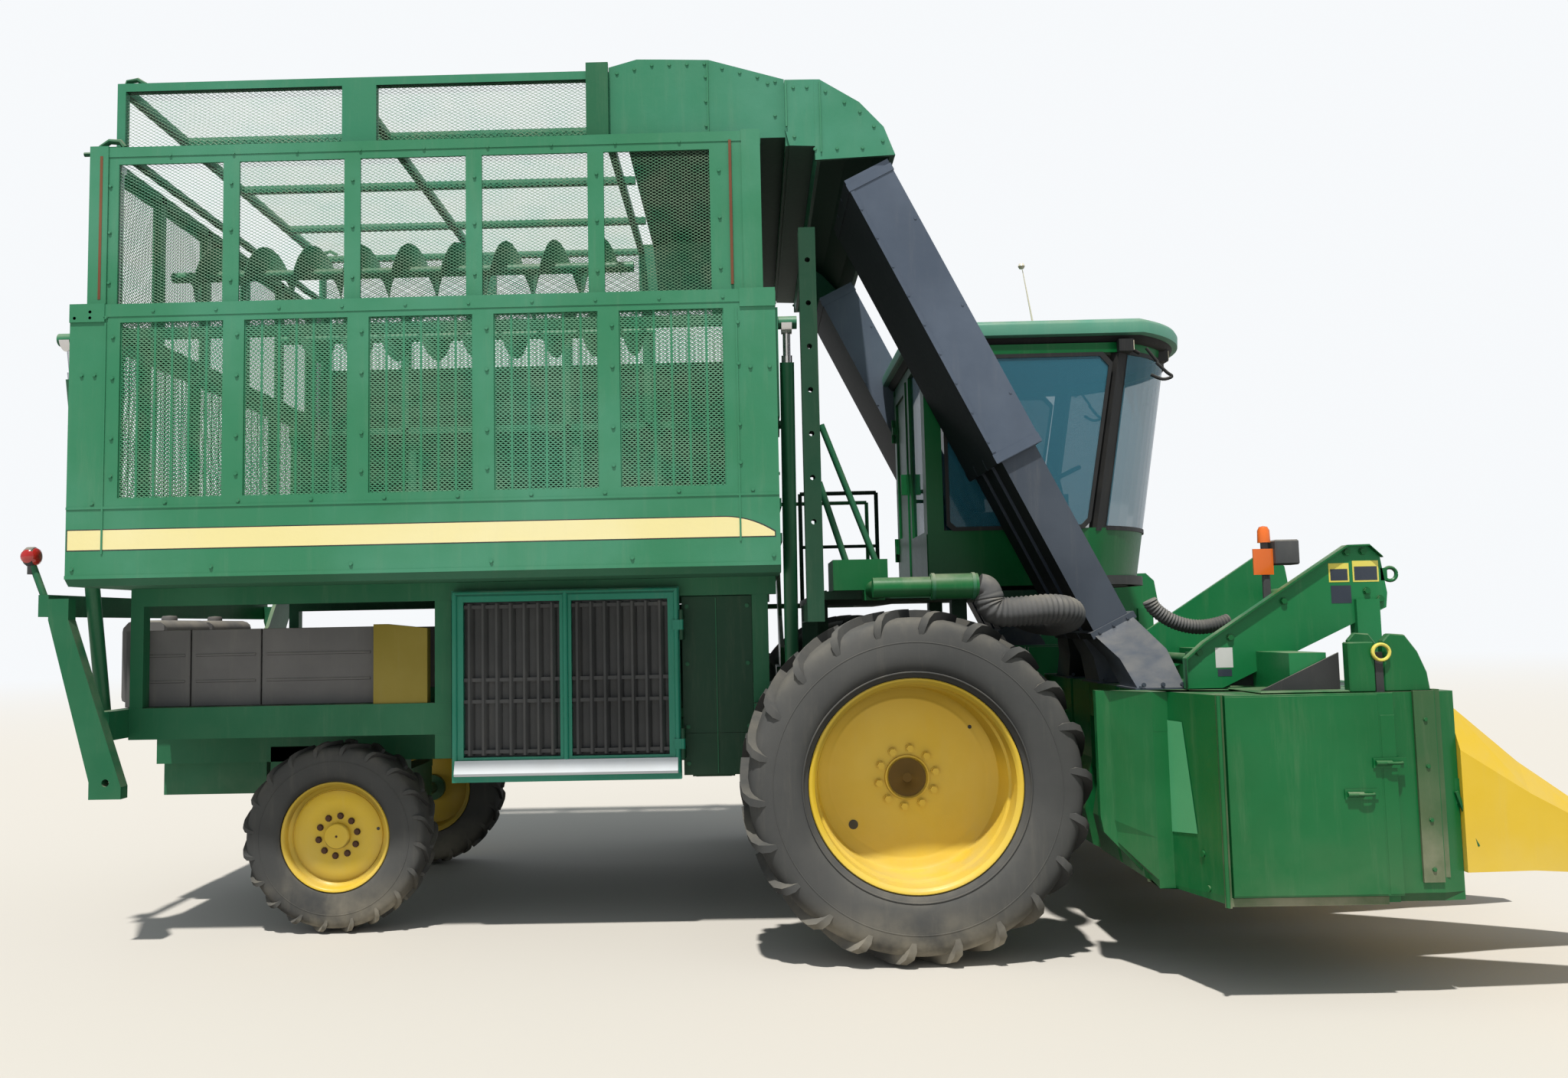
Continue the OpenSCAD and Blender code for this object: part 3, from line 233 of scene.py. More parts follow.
def painted(name, color, faded, dust=0.5, low_dust=0.0, rough=0.38, coat=0.25, low=(0.25, 1.10),
            underside_shade=0.62):
    """Gloss paint that has faded in patches, with streaks, fine scratches and dust on top.

    low_dust is the share of dust near the ground, over the heights in low, and the last argument
    sets how much painted shade darkens the surfaces that face down.
    """
    paint = Finish(name)
    patches = paint.noise(0.9, 5.0).ramp(0.35, 0.70)
    grain = paint.noise(38.0, 3.0)
    shade = paint.mix(patches, color, faded)
    streaks = paint.noise(2.2, 6.0, 0.7, paint.place(6.0, 6.0, 0.55)).ramp(0.50, 0.78)
    washed = tuple(0.65 * c + 0.35 * d for c, d in zip(faded, DUST))
    shade = paint.mix(streaks * 0.16, shade, washed)
    scratches = paint.noise(9.0, 8.0, 0.8, paint.place(1.5, 1.5, 14.0)).ramp(0.69, 0.74)
    shade = paint.mix(scratches * 0.35, shade, tuple(min(1.0, 1.3 * c + 0.03) for c in faded))
    underside = paint.facing_down()
    # painted shade: faces that point down are darkened towards 0.12 of the paint's colour
    shade = paint.mix(underside * underside_shade, shade, tuple(0.12 * c for c in color))
    settled = paint.facing_up() * paint.noise(5.0, 6.0).ramp(0.25, 0.75) * dust
    if low_dust:
        near_ground = 1.0 - paint.height().ramp(*low)
        settled = settled.either(near_ground * paint.noise(3.0, 7.0).ramp(0.30, 0.72) * low_dust)
    shade = paint.mix(settled, shade, DUST)
    dullness = rough + 0.4 * settled + (grain - 0.5) * 0.12 + 0.3 * underside
    paint.set(Base_Color=shade, Roughness=dullness, Specular_IOR_Level=0.28,
              Coat_Weight=coat * (1.0 - underside), Coat_Roughness=0.25)
    paint.bump(grain + paint.noise(1.6, 2.0) * 6.0, 0.0006)
    return paint.material


def wear(material, *names):
    """Gives CAD nodes their finish."""
    for name in names:
        slots = nodes[name].data.materials
        if not len(slots):
            slots.append(material)
        for i in range(len(slots)):
            slots[i] = material


FADED_GREEN = painted("faded_green", (0.036, 0.215, 0.105), (0.070, 0.275, 0.165), 0.55, 0.0, 0.4,
                      0.12)
DEEP_GREEN = painted("deep_green", (0.001, 0.112, 0.026), (0.004, 0.145, 0.040), 0.40, 0.10, 0.34,
                     0.10)
ARM_GREEN = painted("arm_green", (0.006, 0.168, 0.048), (0.014, 0.212, 0.075), 0.45, 0.10, 0.38,
                    0.10)
GRIMY_GREEN = painted("grimy_green", (0.010, 0.122, 0.052), (0.028, 0.165, 0.080), 0.6, 0.4, 0.5,
                      0.05)
# A darker copy of the grimy green is painted shade, for parts that stand in shade under and inside
# the machine: side panels, intake housing, mast, deck and the far walls' plates.
PAINTED_SHADE_GREEN = painted("painted_shade_green", (0.005, 0.048, 0.022), (0.012, 0.068, 0.034), 0.5, 0.3, 0.5,
                      0.05)
BLACK = painted("dark_plastic", (0.030, 0.031, 0.033), (0.060, 0.062, 0.064), 0.35, 0.2, 0.6, 0.0)
CHROME = Finish("chromed_rod")
CHROME.set(Base_Color=(0.62, 0.62, 0.64), Metallic=0.9, Roughness=0.22)

wear(FADED_GREEN, "basket_floor", "basket_side_right", "basket_side_left", "basket_end_front",
     "basket_end_rear", "basket_pins", "ext_frame", "auger_right", "auger_left", "cab_roof")
wear(ARM_GREEN, "header_frame")
wear(DEEP_GREEN, "row_cabinets", "header_door_right", "header_door_left", "cab_door", "ladder",
     "blower", "pivot_masts")
# painted shade: these parts take the darker green because they stand in shade
wear(PAINTED_SHADE_GREEN, "side_panels", "intake_housing", "guide_mast", "engine_block")
wear(GRIMY_GREEN, "chassis_frame", "front_axle", "rear_axle", "basket_bed", "rear_lamp_bar",
     "lift_arms", "knuckle_right", "knuckle_left")
wear(BLACK, "side_tanks", "rear_tanks", "intake_louvres", "cab_floor", "cab_controls")
wear(CHROME.material, "ext_rods", "dump_stages", "dump_rods")

# Each basket wall is one pressed steel sheet with five windows cut out, stiffened by channels
# behind it and a box rail along its top. The windows are closed with punched screens, and the
# rails and posts are bolted together.

GREEN_SLOT = "green_paint"
BOX_FACES = [(0, 2, 3, 1), (4, 5, 7, 6), (0, 1, 5, 4), (2, 6, 7, 3), (0, 4, 6, 2), (1, 3, 7, 5)]


class Shape:
    """Faces gathered into one piece, in metres from the front axle."""

    def __init__(self, side=1):
        self.points = []
        self.faces = []
        self.side = side

    def add(self, points, faces):
        start = len(self.points)
        self.points.extend(tuple(point) for point in points)
        self.faces.extend([start + i for i in face] for face in faces)
        return self

    def box(self, x, y, z):
        return self.add([(a, b, c) for c in z for b in y for a in x], BOX_FACES)

    def loft(self, rings, ends=True, closed=True):
        """Skins a row of rings that have the same number of points."""
        count = len(rings[0])
        points = [point for ring in rings for point in ring]
        last = count if closed else count - 1
        faces = [(r * count + i, r * count + (i + 1) % count, (r + 1) * count + (i + 1) % count,
                  (r + 1) * count + i) for r in range(len(rings) - 1) for i in range(last)]
        if ends:
            faces.append(tuple(reversed(range(count))))
            faces.append(tuple((len(rings) - 1) * count + i for i in range(count)))
        return self.add(points, faces)

    def prism(self, outline, axis, low, high):
        """Pushes an outline of two coordinates along x, y or z."""
        order = {"x": lambda p, h: (h, p[0], p[1]), "y": lambda p, h: (p[0], h, p[1]),
                 "z": lambda p, h: (p[0], p[1], h)}[axis]
        return self.loft([[order(p, h) for p in outline] for h in (low, high)])

    def spin(self, profile, centre, axis="y", steps=48):
        """Turns a profile of (radius, distance along the axis) about that axis."""
        rings = []
        for i in range(steps):
            a = 2 * math.pi * i / steps
            ring = []
            for radius, along in profile:
                u, v = radius * math.cos(a), radius * math.sin(a)
                local = {"x": (along, u, v), "y": (u, along, v), "z": (u, v, along)}[axis]
                ring.append([c + d for c, d in zip(centre, local)])
            rings.append(ring)
        return self.loft([*rings, rings[0]], ends=False, closed=False)

    def rod(self, start, end, radius, sides=12):
        """A round bar between two points."""
        start, end = Vector(start), Vector(end)
        turn = (end - start).to_track_quat("Z", "Y")
        section = [turn @ Vector((radius * math.cos(2 * math.pi * i / sides),
                                  radius * math.sin(2 * math.pi * i / sides), 0))
                   for i in range(sides)]
        return self.loft([[place + spoke for spoke in section] for place in (start, end)])

    def pipe(self, path, radius, sides=12, ends=True):
        """A round section carried along a path; radius may be a list."""
        path = [Vector(point) for point in path]
        radii = radius if isinstance(radius, list) else [radius] * len(path)
        rings = []
        hint = None
        for i, point in enumerate(path):
            along = (path[min(i + 1, len(path) - 1)] - path[max(i - 1, 0)]).normalized()
            if hint is None:
                hint = along.orthogonal()
            hint = (hint - along * hint.dot(along)).normalized()
            other = along.cross(hint)
            rings.append([point + radii[i] * (hint * math.cos(2 * math.pi * k / sides)
                                              + other * math.sin(2 * math.pi * k / sides))
                          for k in range(sides)])
        return self.loft(rings, ends)

    def bolt(self, place, out, size=0.012, height=0.009):
        """A hexagon head on a washer, standing on a surface."""
        place, out = Vector(place), Vector(out)
        self.rod(place, place + out * height * 0.3, size * 1.25, 10)
        return self.rod(place, place + out * height, size, 6)

    def piece(self, name, material, body, slot=GREEN_SLOT, replaced=(), smooth=None, bevel=None):
        """Makes the object, gives it its finish and lets it ride on its body."""
        mesh = bpy.data.meshes.new(name)
        shift = [(x + AXLE_X, y * self.side, z) for x, y, z in self.points]
        mesh.from_pydata(shift, [], self.faces)
        mesh.update()
        fixed = bmesh.new()
        fixed.from_mesh(mesh)
        if self.side < 0:
            bmesh.ops.reverse_faces(fixed, faces=fixed.faces)
        if bevel:
            bmesh.ops.recalc_face_normals(fixed, faces=fixed.faces)
            sharp = [e for e in fixed.edges if len(e.link_faces) == 2
                     and e.calc_face_angle(0) > 0.6 and e.calc_length() > 6 * bevel]
            bmesh.ops.bevel(fixed, geom=sharp, offset=bevel, segments=1, affect="EDGES",
                            clamp_overlap=True)
        bmesh.ops.recalc_face_normals(fixed, faces=fixed.faces)
        fixed.to_mesh(mesh)
        fixed.free()
        mesh.materials.append(material)
        if smooth:
            mesh.polygons.foreach_set("use_smooth", [True] * len(mesh.polygons))
            mesh.set_sharp_from_angle(angle=math.radians(smooth))
        made = bpy.data.objects.new(name, mesh)
        bpy.context.scene.collection.objects.link(made)
        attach(made, body)
        if replaced:
            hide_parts(*replaced)
        return made


class Sheet(Shape):
    """A wall drawn face on: u along it, v up, w from its outer face inwards."""

    def __init__(self, lay):
        super().__init__()
        self.lay = lay

    def plate(self, u, v, w):
        return self.add([self.lay(a, b, c) for c in w for b in v for a in u], BOX_FACES)

    def ribbon(self, strands, thick, w, lean):
        """Thin strips; each strand is a list of (u, v), thick across and leaning by lean."""
        points, faces = [], []
        for strand in strands:
            start = len(points)
            for u, v in strand:
                points.append(self.lay(u, v - thick / 2, w))
                points.append(self.lay(u, v + thick / 2, w + lean))
            faces.extend((start + 2 * i, start + 2 * i + 2, start + 2 * i + 3, start + 2 * i + 1)
                         for i in range(len(strand) - 1))
        return self.add(points, faces)


def zigzag(u, v, pitch, rise, phase):
    """One strand of expanded metal from u[0] to u[1], swinging about v."""
    count = max(2, round((u[1] - u[0]) / (pitch / 2)))
    step = (u[1] - u[0]) / count
    return [(u[0] + i * step, v + (rise / 4 if (i + phase) % 2 else -rise / 4))
            for i in range(count + 1)]


def diamond_mesh(sheet, u, v, pitch, rise, w, thick=0.0042):
    """Fills a window with expanded metal: strands that touch at their peaks."""
    rows = max(1, round((v[1] - v[0]) / (rise / 2)))
    step = (v[1] - v[0]) / rows
    sheet.ribbon([zigzag(u, v[0] + (k + 0.5) * step, pitch, 2 * step, k) for k in range(rows)],
                 thick, w, 0.003)


def punched_screen(sheet, u, v, w, columns=6, rows=21, thick=0.0072):
    """Fills a window with the basket's screen: blocks of wavy slots between plain strips."""
    cell_u = (u[1] - u[0]) / columns
    cell_v = (v[1] - v[0]) / rows
    strip = 0.013
    for i in range(columns + 1):
        middle = u[0] + i * cell_u
        sheet.plate((max(u[0], middle - strip / 2), min(u[1], middle + strip / 2)), v,
                    (w, w + 0.002))
    strands = []
    for i in range(columns):
        across = (u[0] + i * cell_u + strip / 2, u[0] + (i + 1) * cell_u - strip / 2)
        for j in range(rows):
            low = v[0] + j * cell_v
            for k in range(4):
                strands.append(zigzag(across, low + (k + 0.5) * cell_v / 4, cell_u * 0.29,
                                      cell_v * 0.30, k))
    sheet.ribbon(strands, thick, w, 0.002)


SCREEN_BACK = 0.012       # how far behind the outer face a screen lies


def ribbed_plate(sheet, u, v, ribs):
    """Closes a window with a plate and a pressed rib at each of the heights given."""
    front = SCREEN_BACK + 0.003
    sheet.plate(u, v, (SCREEN_BACK, front))
    for rib in ribs:
        sheet.plate(u, (rib - 0.022, rib + 0.022), (front, 0.040))


BASKET_X = (-4.770, -0.690)
BASKET_Y = 1.900
BASKET_Z = (2.125, 3.755)
FOLD = 0.040
WALL_DEPTH = 0.050
WINDOW_Z = (2.625, 3.645)
SIDE_WINDOWS = [(0.293 + i * 0.722, 0.893 + i * 0.722) for i in range(5)]
END_WINDOWS = [(0.1297 + i * 0.710, 0.7297 + i * 0.710) for i in range(5)]


def wall_sheet(wall, length, z, windows, window_z, depth, rail=0.075, lip=0.018):
    """The pressed sheet, its channels behind, the folded window edges and the top rail."""
    skin = 0.005
    edges = [0.0] + [u for window in windows for u in window] + [length]
    for left, right_edge in zip(edges[0::2], edges[1::2]):
        wall.plate((left, right_edge), window_z, (0.0, skin))
        middle = (left + right_edge) / 2
        half = min(0.030, (right_edge - left) / 2 - 0.004)
        wall.plate((middle - half, middle + half), (z[0] + 0.002, z[1] - 0.004), (skin, depth))
    wall.plate((0.0, length), (z[0], window_z[0]), (0.0, skin))
    wall.plate((0.0, length), (window_z[1], z[1]), (0.0, skin))
    wall.plate((0.001, length - 0.001), (z[1] - rail, z[1] - 0.001), (-0.004, depth))
    wall.plate((0.002, length - 0.002), (z[0], z[0] + 0.05), (skin, depth))
    for left, right_edge in windows:
        for v in (window_z[0] - 0.004, window_z[1]):
            wall.plate((left - 0.004, right_edge + 0.004), (v, v + 0.004), (skin, lip))
        for u in (left - 0.004, right_edge):
            wall.plate((u, u + 0.004), window_z, (skin, lip))


def on_side(side, near, far):
    """A stretch across the machine on its left (1) or right (-1) side, the lower Y first."""
    return sorted((side * near, side * far))


def bolt_lines(wall, spots, out, size=0.010):
    """Bolt heads on a wall's outer face, at (u, v) places."""
    for u, v in spots:
        wall.bolt(wall.lay(u, v, -0.001), out, size, 0.008)


def basket_side(name, node, side):
    """One long wall; the left one, which the camera sees from inside, is closed with plates."""
    length = BASKET_X[1] - BASKET_X[0]
    low = BASKET_Z[0] + FOLD
    out = (0, side, 0)

    def lay(u, v, w):
        return BASKET_X[0] + u, side * (BASKET_Y - w), v

    wall = Sheet(lay)
    wall_sheet(wall, length, (low, BASKET_Z[1]), SIDE_WINDOWS, WINDOW_Z, WALL_DEPTH)
    for u in (0.0, length - 0.205):
        wall.plate((u, u + 0.205), (WINDOW_Z[1] + 0.005, BASKET_Z[1] + 0.003), (-0.009, 0.0))
    for u in (0.205, length - 0.230):
        wall.plate((u, u + 0.010), (low + 0.14, WINDOW_Z[1]), (-0.006, 0.0))
    wall.plate((0.0, length), (WINDOW_Z[0] - 0.062, WINDOW_Z[0] - 0.048), (-0.005, 0.0))
    wall.plate((0.0, length), (low, low + 0.020), (-0.006, 0.0))
    spots = [(0.12 + 0.366 * i, BASKET_Z[1] - 0.045) for i in range(11)]
    spots += [(0.075, 3.34), (0.150, 3.34), (length - 0.150, 3.30), (length - 0.040, 3.30)]
    spots += [(0.253 + 0.722 * i, v) for i in range(6) for v in (2.75, 2.97, 3.32, 3.56)]
    spots += [(0.15 + 0.42 * i, WINDOW_Z[0] - 0.030) for i in range(10)]
    spots += [(0.04 + 0.8 * i, low + 0.055) for i in range(6)]
    spots += [(0.03 + 0.09 * i, BASKET_Z[1] - 0.080) for i in range(3)]
    bolt_lines(wall, spots, out)
    wall.piece(name, FADED_GREEN, "basket", replaced=[node])
    screen = Sheet(lay)
    for window in SIDE_WINDOWS:
        if side < 0:
            punched_screen(screen, window, WINDOW_Z, SCREEN_BACK)
        else:
            ribbed_plate(screen, window, WINDOW_Z, (2.80, 2.98, 3.16, 3.34, 3.52))
    # the left wall's plates take the darker green: painted shade inside the basket
    screen.piece(name + "_screens", FADED_GREEN if side < 0 else PAINTED_SHADE_GREEN, "basket")


basket_side("basket_right_wall", "basket_side_right", -1)
basket_side("basket_left_wall", "basket_side_left", 1)


def basket_end(name, node, front):
    """The front or rear wall, with two guide tubes for the extension's legs inside it."""
    length = 2 * (BASKET_Y - WALL_DEPTH) - 0.0006
    out = (1 if front else -1, 0, 0)

    def lay(u, v, w):
        return (BASKET_X[1] - w if front else BASKET_X[0] + w), -length / 2 + u, v

    wall = Sheet(lay)
    low = BASKET_Z[0] + FOLD
    wall_sheet(wall, length, (low, BASKET_Z[1]), END_WINDOWS, WINDOW_Z, WALL_DEPTH)
    for v in (2.30, 2.50):
        wall.plate((0.02, length - 0.02), (v, v + 0.05), (-0.012, 0.0))
    bolt_lines(wall, [(0.09 + 0.71 * i, v) for i in range(6) for v in (2.70, 3.0, 3.3, 3.6)]
               + [(0.1 + 0.35 * i, BASKET_Z[1] - 0.045) for i in range(11)], out)
    x = BASKET_X[1] - 0.171 if front else BASKET_X[0] + 0.171
    for y in (-1.690, 1.690):
        wall.spin([(0.0, low), (0.038, low), (0.038, 3.47), (0.046, 3.47), (0.046, 3.50),
                   (0.027, 3.50), (0.027, 3.40)], (x, y, 0), "z", 20)
    wall.piece(name, FADED_GREEN, "basket", replaced=[node])
    screen = Sheet(lay)
    for window in END_WINDOWS:
        punched_screen(screen, window, WINDOW_Z, SCREEN_BACK, 5, 18, 0.0085)
    screen.piece(name + "_screens", FADED_GREEN, "basket")


basket_end("basket_front_wall", "basket_end_front", True)
basket_end("basket_rear_wall", "basket_end_rear", False)

# One cream band of film runs along each side of the basket under the windows, with a fine
# dark edge, and tapers to a point at the front. It carries nothing.

CREAM = painted("cream_film", (0.86, 0.76, 0.36), (0.88, 0.80, 0.45), 0.12, 0.0, 0.45, 0.1)
STRIPE_Z = (2.330, 2.442)
STRIPE_X = (-4.758, -0.722)


def stripe(side, name):
    """The dark edge first, and the cream band a little proud of it."""
    for grow, skin, finish, label in ((0.006, 0.0008, BLACK, "edge"), (0.0, 0.0016, CREAM, "band")):
        band = Shape()
        y = side * (BASKET_Y + skin)
        nose = 0.30
        steps = 10
        rows = []
        for i in range(steps + 1):
            share = i / steps
            x = STRIPE_X[1] - nose + share * nose
            drop = (STRIPE_Z[1] - STRIPE_Z[0]) * 0.80 * share ** 2.2
            rows.append((x + grow * share, STRIPE_Z[0] - grow, STRIPE_Z[1] + grow - drop))
        rows.insert(0, (STRIPE_X[0] - grow, STRIPE_Z[0] - grow, STRIPE_Z[1] + grow))
        band.add([(x, y, z) for x, low, high in rows for z in (low, high)],
                 [(2 * i, 2 * i + 2, 2 * i + 3, 2 * i + 1) if side < 0 else
                  (2 * i + 1, 2 * i + 3, 2 * i + 2, 2 * i) for i in range(len(rows) - 1)])
        band.piece(f"stripe_{label}_{name}", finish, "basket")


stripe(-1, "right")
stripe(1, "left")

# A lighter frame slides up inside the basket. Its walls and its roof are welded angle with
# fine expanded metal, which shows the sky, and rust runs down its corner posts.

EXT_X = (-4.704, -0.756)
EXT_Y = 1.834
EXT_Z = (3.565, 4.715)
EXT_WINDOW_Z = (3.625, 4.610)
EXT_SIDE_WINDOWS = [(0.170 + i * 0.715, 0.790 + i * 0.715) for i in range(5)]
EXT_END_LENGTH = 3.5774
EXT_END_WINDOWS = [(0.1487 + i * 0.680, 0.7087 + i * 0.680) for i in range(5)]
EXT_DEPTH = 0.045
ROOF_Y = 1.744
FAR_PANEL_TOP = 4.145

# The hood and the roof over the extension wear the basket's faded green with deeper painted shade
# on the faces that point down.
HOOD_GREEN = painted("hood_green", (0.038, 0.220, 0.118), (0.074, 0.285, 0.185), 0.55, 0.0, 0.4,
                     0.12, underside_shade=1.3)
wear(HOOD_GREEN, "ext_hood", "ext_roof")
RUST = painted("rust_strip", (0.150, 0.055, 0.030), (0.220, 0.090, 0.045), 0.2, 0.0, 0.85, 0.0)

ext_walls = Sheet(None)
ext_screens = Sheet(None)
far_panels = Sheet(None)
rust_strips = Shape()
for side in (-1, 1):
    def along_side(u, v, w, side=side):
        return EXT_X[0] + u, side * (EXT_Y - w), v

    ext_walls.lay = ext_screens.lay = far_panels.lay = along_side
    length = EXT_X[1] - EXT_X[0]
    wall_sheet(ext_walls, length, EXT_Z, EXT_SIDE_WINDOWS, EXT_WINDOW_Z, EXT_DEPTH, 0.06, 0.014)
    for u in (0.0, length - 0.11):
        ext_walls.plate((u, u + 0.11), (EXT_Z[0], EXT_Z[1] + 0.006), (-0.010, 0.0))
    bolt_lines(ext_walls, [(0.10 + 0.375 * i, EXT_Z[1] - 0.055) for i in range(11)]
               + [(0.122 + 0.7166 * i, v) for i in range(6) for v in (3.90, 4.20, 4.48)]
               + [(length - 0.05, v) for v in (3.86, 4.05, 4.33, 4.60)]
               + [(0.05, v) for v in (3.86, 4.10, 4.55)], (0, side, 0), 0.009)
    for window in EXT_SIDE_WINDOWS:
        low = EXT_WINDOW_Z[0] if side < 0 else FAR_PANEL_TOP
        diamond_mesh(ext_screens, window, (low, EXT_WINDOW_Z[1]), 0.034, 0.019, SCREEN_BACK)
        # on the far side the lower part of each window is closed with a ribbed plate in the darker
        # green, which is painted shade
        if side > 0:
            ribbed_plate(far_panels, window, (EXT_WINDOW_Z[0], FAR_PANEL_TOP), (3.74, 3.93, 4.12))
    for u in (0.062, length - 0.185):
        rust_strips.box((EXT_X[0] + u, EXT_X[0] + u + 0.016),
                        on_side(side, EXT_Y + 0.0005, EXT_Y + 0.012), (3.80, 4.66))
for front in (False, True):
    def along_end(u, v, w, front=front):
        return (EXT_X[1] - w if front else EXT_X[0] + w), u - EXT_END_LENGTH / 2, v

    ext_walls.lay = ext_screens.lay = along_end
    wall_sheet(ext_walls, EXT_END_LENGTH, EXT_Z, EXT_END_WINDOWS, EXT_WINDOW_Z, EXT_DEPTH, 0.06,
               0.014)
    for window in EXT_END_WINDOWS:
        diamond_mesh(ext_screens, window, EXT_WINDOW_Z, 0.040, 0.022, SCREEN_BACK)
ext_walls.piece("extension_walls", FADED_GREEN, "extension", replaced=["ext_frame"])
ext_screens.piece("extension_screens", FADED_GREEN, "extension")
far_panels.piece("extension_far_panels", PAINTED_SHADE_GREEN, "extension")
rust_strips.piece("extension_rust_strips", RUST, "extension")

# The frame over the extension is closed with coarser expanded metal on its sides and on top,
# welded to the angle.

ROOF_TOP = 5.120

roof_screens = Sheet(None)
for side in (-1, 1):
    def roof_side(u, v, w, side=side):
        return u, side * (ROOF_Y - w), v

    roof_screens.lay = roof_side
    for u in ((-4.55, -3.245), (-3.04, -1.78)):
        diamond_mesh(roof_screens, u, (4.745, 5.095), 0.036, 0.020, 0.020)
roof_screens.lay = lambda u, v, w: (u, v, ROOF_TOP + w)
for v in ((-1.694, -0.925), (-0.875, -0.025), (0.025, 0.875), (0.925, 1.694)):
    for u in ((-4.55, -3.245), (-3.195, -1.78)):
        diamond_mesh(roof_screens, u, v, 0.050, 0.030, 0.0)
roof_screens.piece("roof_screens", FADED_GREEN, "extension")

# Hooks of bent round bar are welded to the corners of the extension and of the frame over it,
# and a flat iron stands where the frame meets the hood.

corner_irons = Shape()
for side in (-1, 1):
    y = side * 1.800
    corner_irons.pipe([(-4.672, y, 4.695), (-4.660, y, 4.73), (-4.610, y, 4.765),
                       (-4.545, y, 4.760), (-4.520, y, 4.725)], 0.017, 8)
    corner_irons.box((-4.700, -4.540), sorted((y - 0.03, y + 0.03)), (4.712, 4.722))
    corner_irons.rod((-4.760, y, 4.690), (-4.695, y, 4.690), 0.014, 8)
    y = side * 1.70
    corner_irons.pipe([(-4.575, y, 5.12), (-4.560, y, 5.175), (-4.500, y, 5.185),
                       (-4.445, y, 5.150)], 0.015, 8)
    corner_irons.box((-1.782, -1.650), on_side(side, 1.735, 1.760), (4.72, 5.19))
corner_irons.piece("corner_irons", GRIMY_GREEN, "extension", smooth=40)

# The hood is folded sheet steel that closes the gap over the ducts' heads. Rows of bolts and
# narrow straps hold its sheets together.

HOOD_PLACES = [(-1.07, 5.10), (-1.07, 4.95), (-1.07, 4.80), (-0.70, 5.05), (-0.66, 4.85)]
BEAK_PLACES = [(-0.55, 5.0), (-0.47, 5.0), (-0.36, 4.97), (-0.25, 4.90), (-0.16, 4.84),
               (-0.08, 4.75), (-0.03, 4.66), (-0.55, 4.70), (-0.43, 4.62), (-0.30, 4.62),
               (-0.15, 4.62)]

hood_bolts = Shape()
for side in (-1, 1):
    y = side * 1.720
    for i in range(10):
        x = -1.60 + i * 0.105
        rise = 5.135 + 0.045 * min(1, i / 2) - max(0, i - 5) * 0.030
        hood_bolts.bolt((x, y, rise), (0, side, 0), 0.009, 0.007)
    for x, z in HOOD_PLACES:
        hood_bolts.bolt((x, y, z), (0, side, 0), 0.009, 0.007)
    hood_bolts.box((-1.062, -1.054), sorted((y, y + side * 0.010)), (4.72, 5.195))
    y = side * 1.765
    for x, z in BEAK_PLACES:
        hood_bolts.bolt((x, y, z), (0, side, 0), 0.009, 0.007)
    hood_bolts.box((-0.398, -0.390), sorted((y, y + side * 0.010)), (4.60, 5.03))
    hood_bolts.box((-0.600, -0.590), sorted((y, y + side * 0.012)), (4.76, 5.04))
hood_bolts.piece("hood_bolts", FADED_GREEN, "extension")

# Two augers level the cotton under the roof: each is a tube with a thin steel flight wound
# round it and welded on, painted like the basket, one right-handed and one left-handed.

AUGER_X = (-4.62, -1.62)
AUGER_Y = 0.90
AUGER_Z = 4.20
AUGER_TURN = 0.32
FLIGHT = [(0.034, -0.003), (0.189, -0.002), (0.189, 0.002), (0.034, 0.003)]

for side, name in ((-1, "auger_right"), (1, "auger_left")):
    auger = Shape()
    y = side * AUGER_Y
    auger.rod((AUGER_X[0] - 0.03, y, AUGER_Z), (AUGER_X[1] + 0.03, y, AUGER_Z), 0.035, 16)
    steps = 18
    rings = []
    for i in range(int((AUGER_X[1] - AUGER_X[0] - 0.1) / AUGER_TURN * steps)):
        a = side * 2 * math.pi * i / steps
        x = AUGER_X[0] + 0.05 + i * AUGER_TURN / steps
        rings.append([(x + d, y + r * math.cos(a), AUGER_Z + r * math.sin(a)) for r, d in FLIGHT])
    auger.loft(rings)
    auger.piece(name + "_flighting", FADED_GREEN, name, replaced=[name], smooth=30)

# The tyres are diagonal-ply farm tyres with long lugs that curve over the shoulder, grey with
# dust. The rims are pressed and welded steel; the front ones are dished deep over the final
# drive, and the rear nuts have rusted.

YELLOW = painted("rim_yellow", (0.700, 0.470, 0.024), (0.760, 0.550, 0.085), 0.35, 0.2, 0.4, 0.1)
wear(YELLOW, "front_wheel_right", "front_wheel_left", "rear_wheel_right", "rear_wheel_left",
     "row_dividers")
RUBBER = painted("tyre_rubber", (0.058, 0.060, 0.060), (0.092, 0.093, 0.091), 0.22, 0.65, 0.85, 0.0,
                 low=(0.02, 0.42))
SMOOTH_RUBBER = painted("smooth_rubber", (0.065, 0.067, 0.070), (0.125, 0.127, 0.130), 0.45, 0.0,
                        0.55, 0.0)


def curve(points, steps=6):
    """A smooth line through points of any number of coordinates."""
    ends = [points[0], *points, points[-1]]
    line = []
    for i in range(len(points) - 1):
        a, b, c, d = ends[i:i + 4]
        for k in range(steps):
            t = k / steps
            line.append(tuple(0.5 * (2 * q + (r - p) * t + (2 * p - 5 * q + 4 * r - s) * t * t
                                     + (3 * q - p - 3 * r + s) * t ** 3)
                              for p, q, r, s in zip(a, b, c, d)))
    return [*line, tuple(points[-1])]


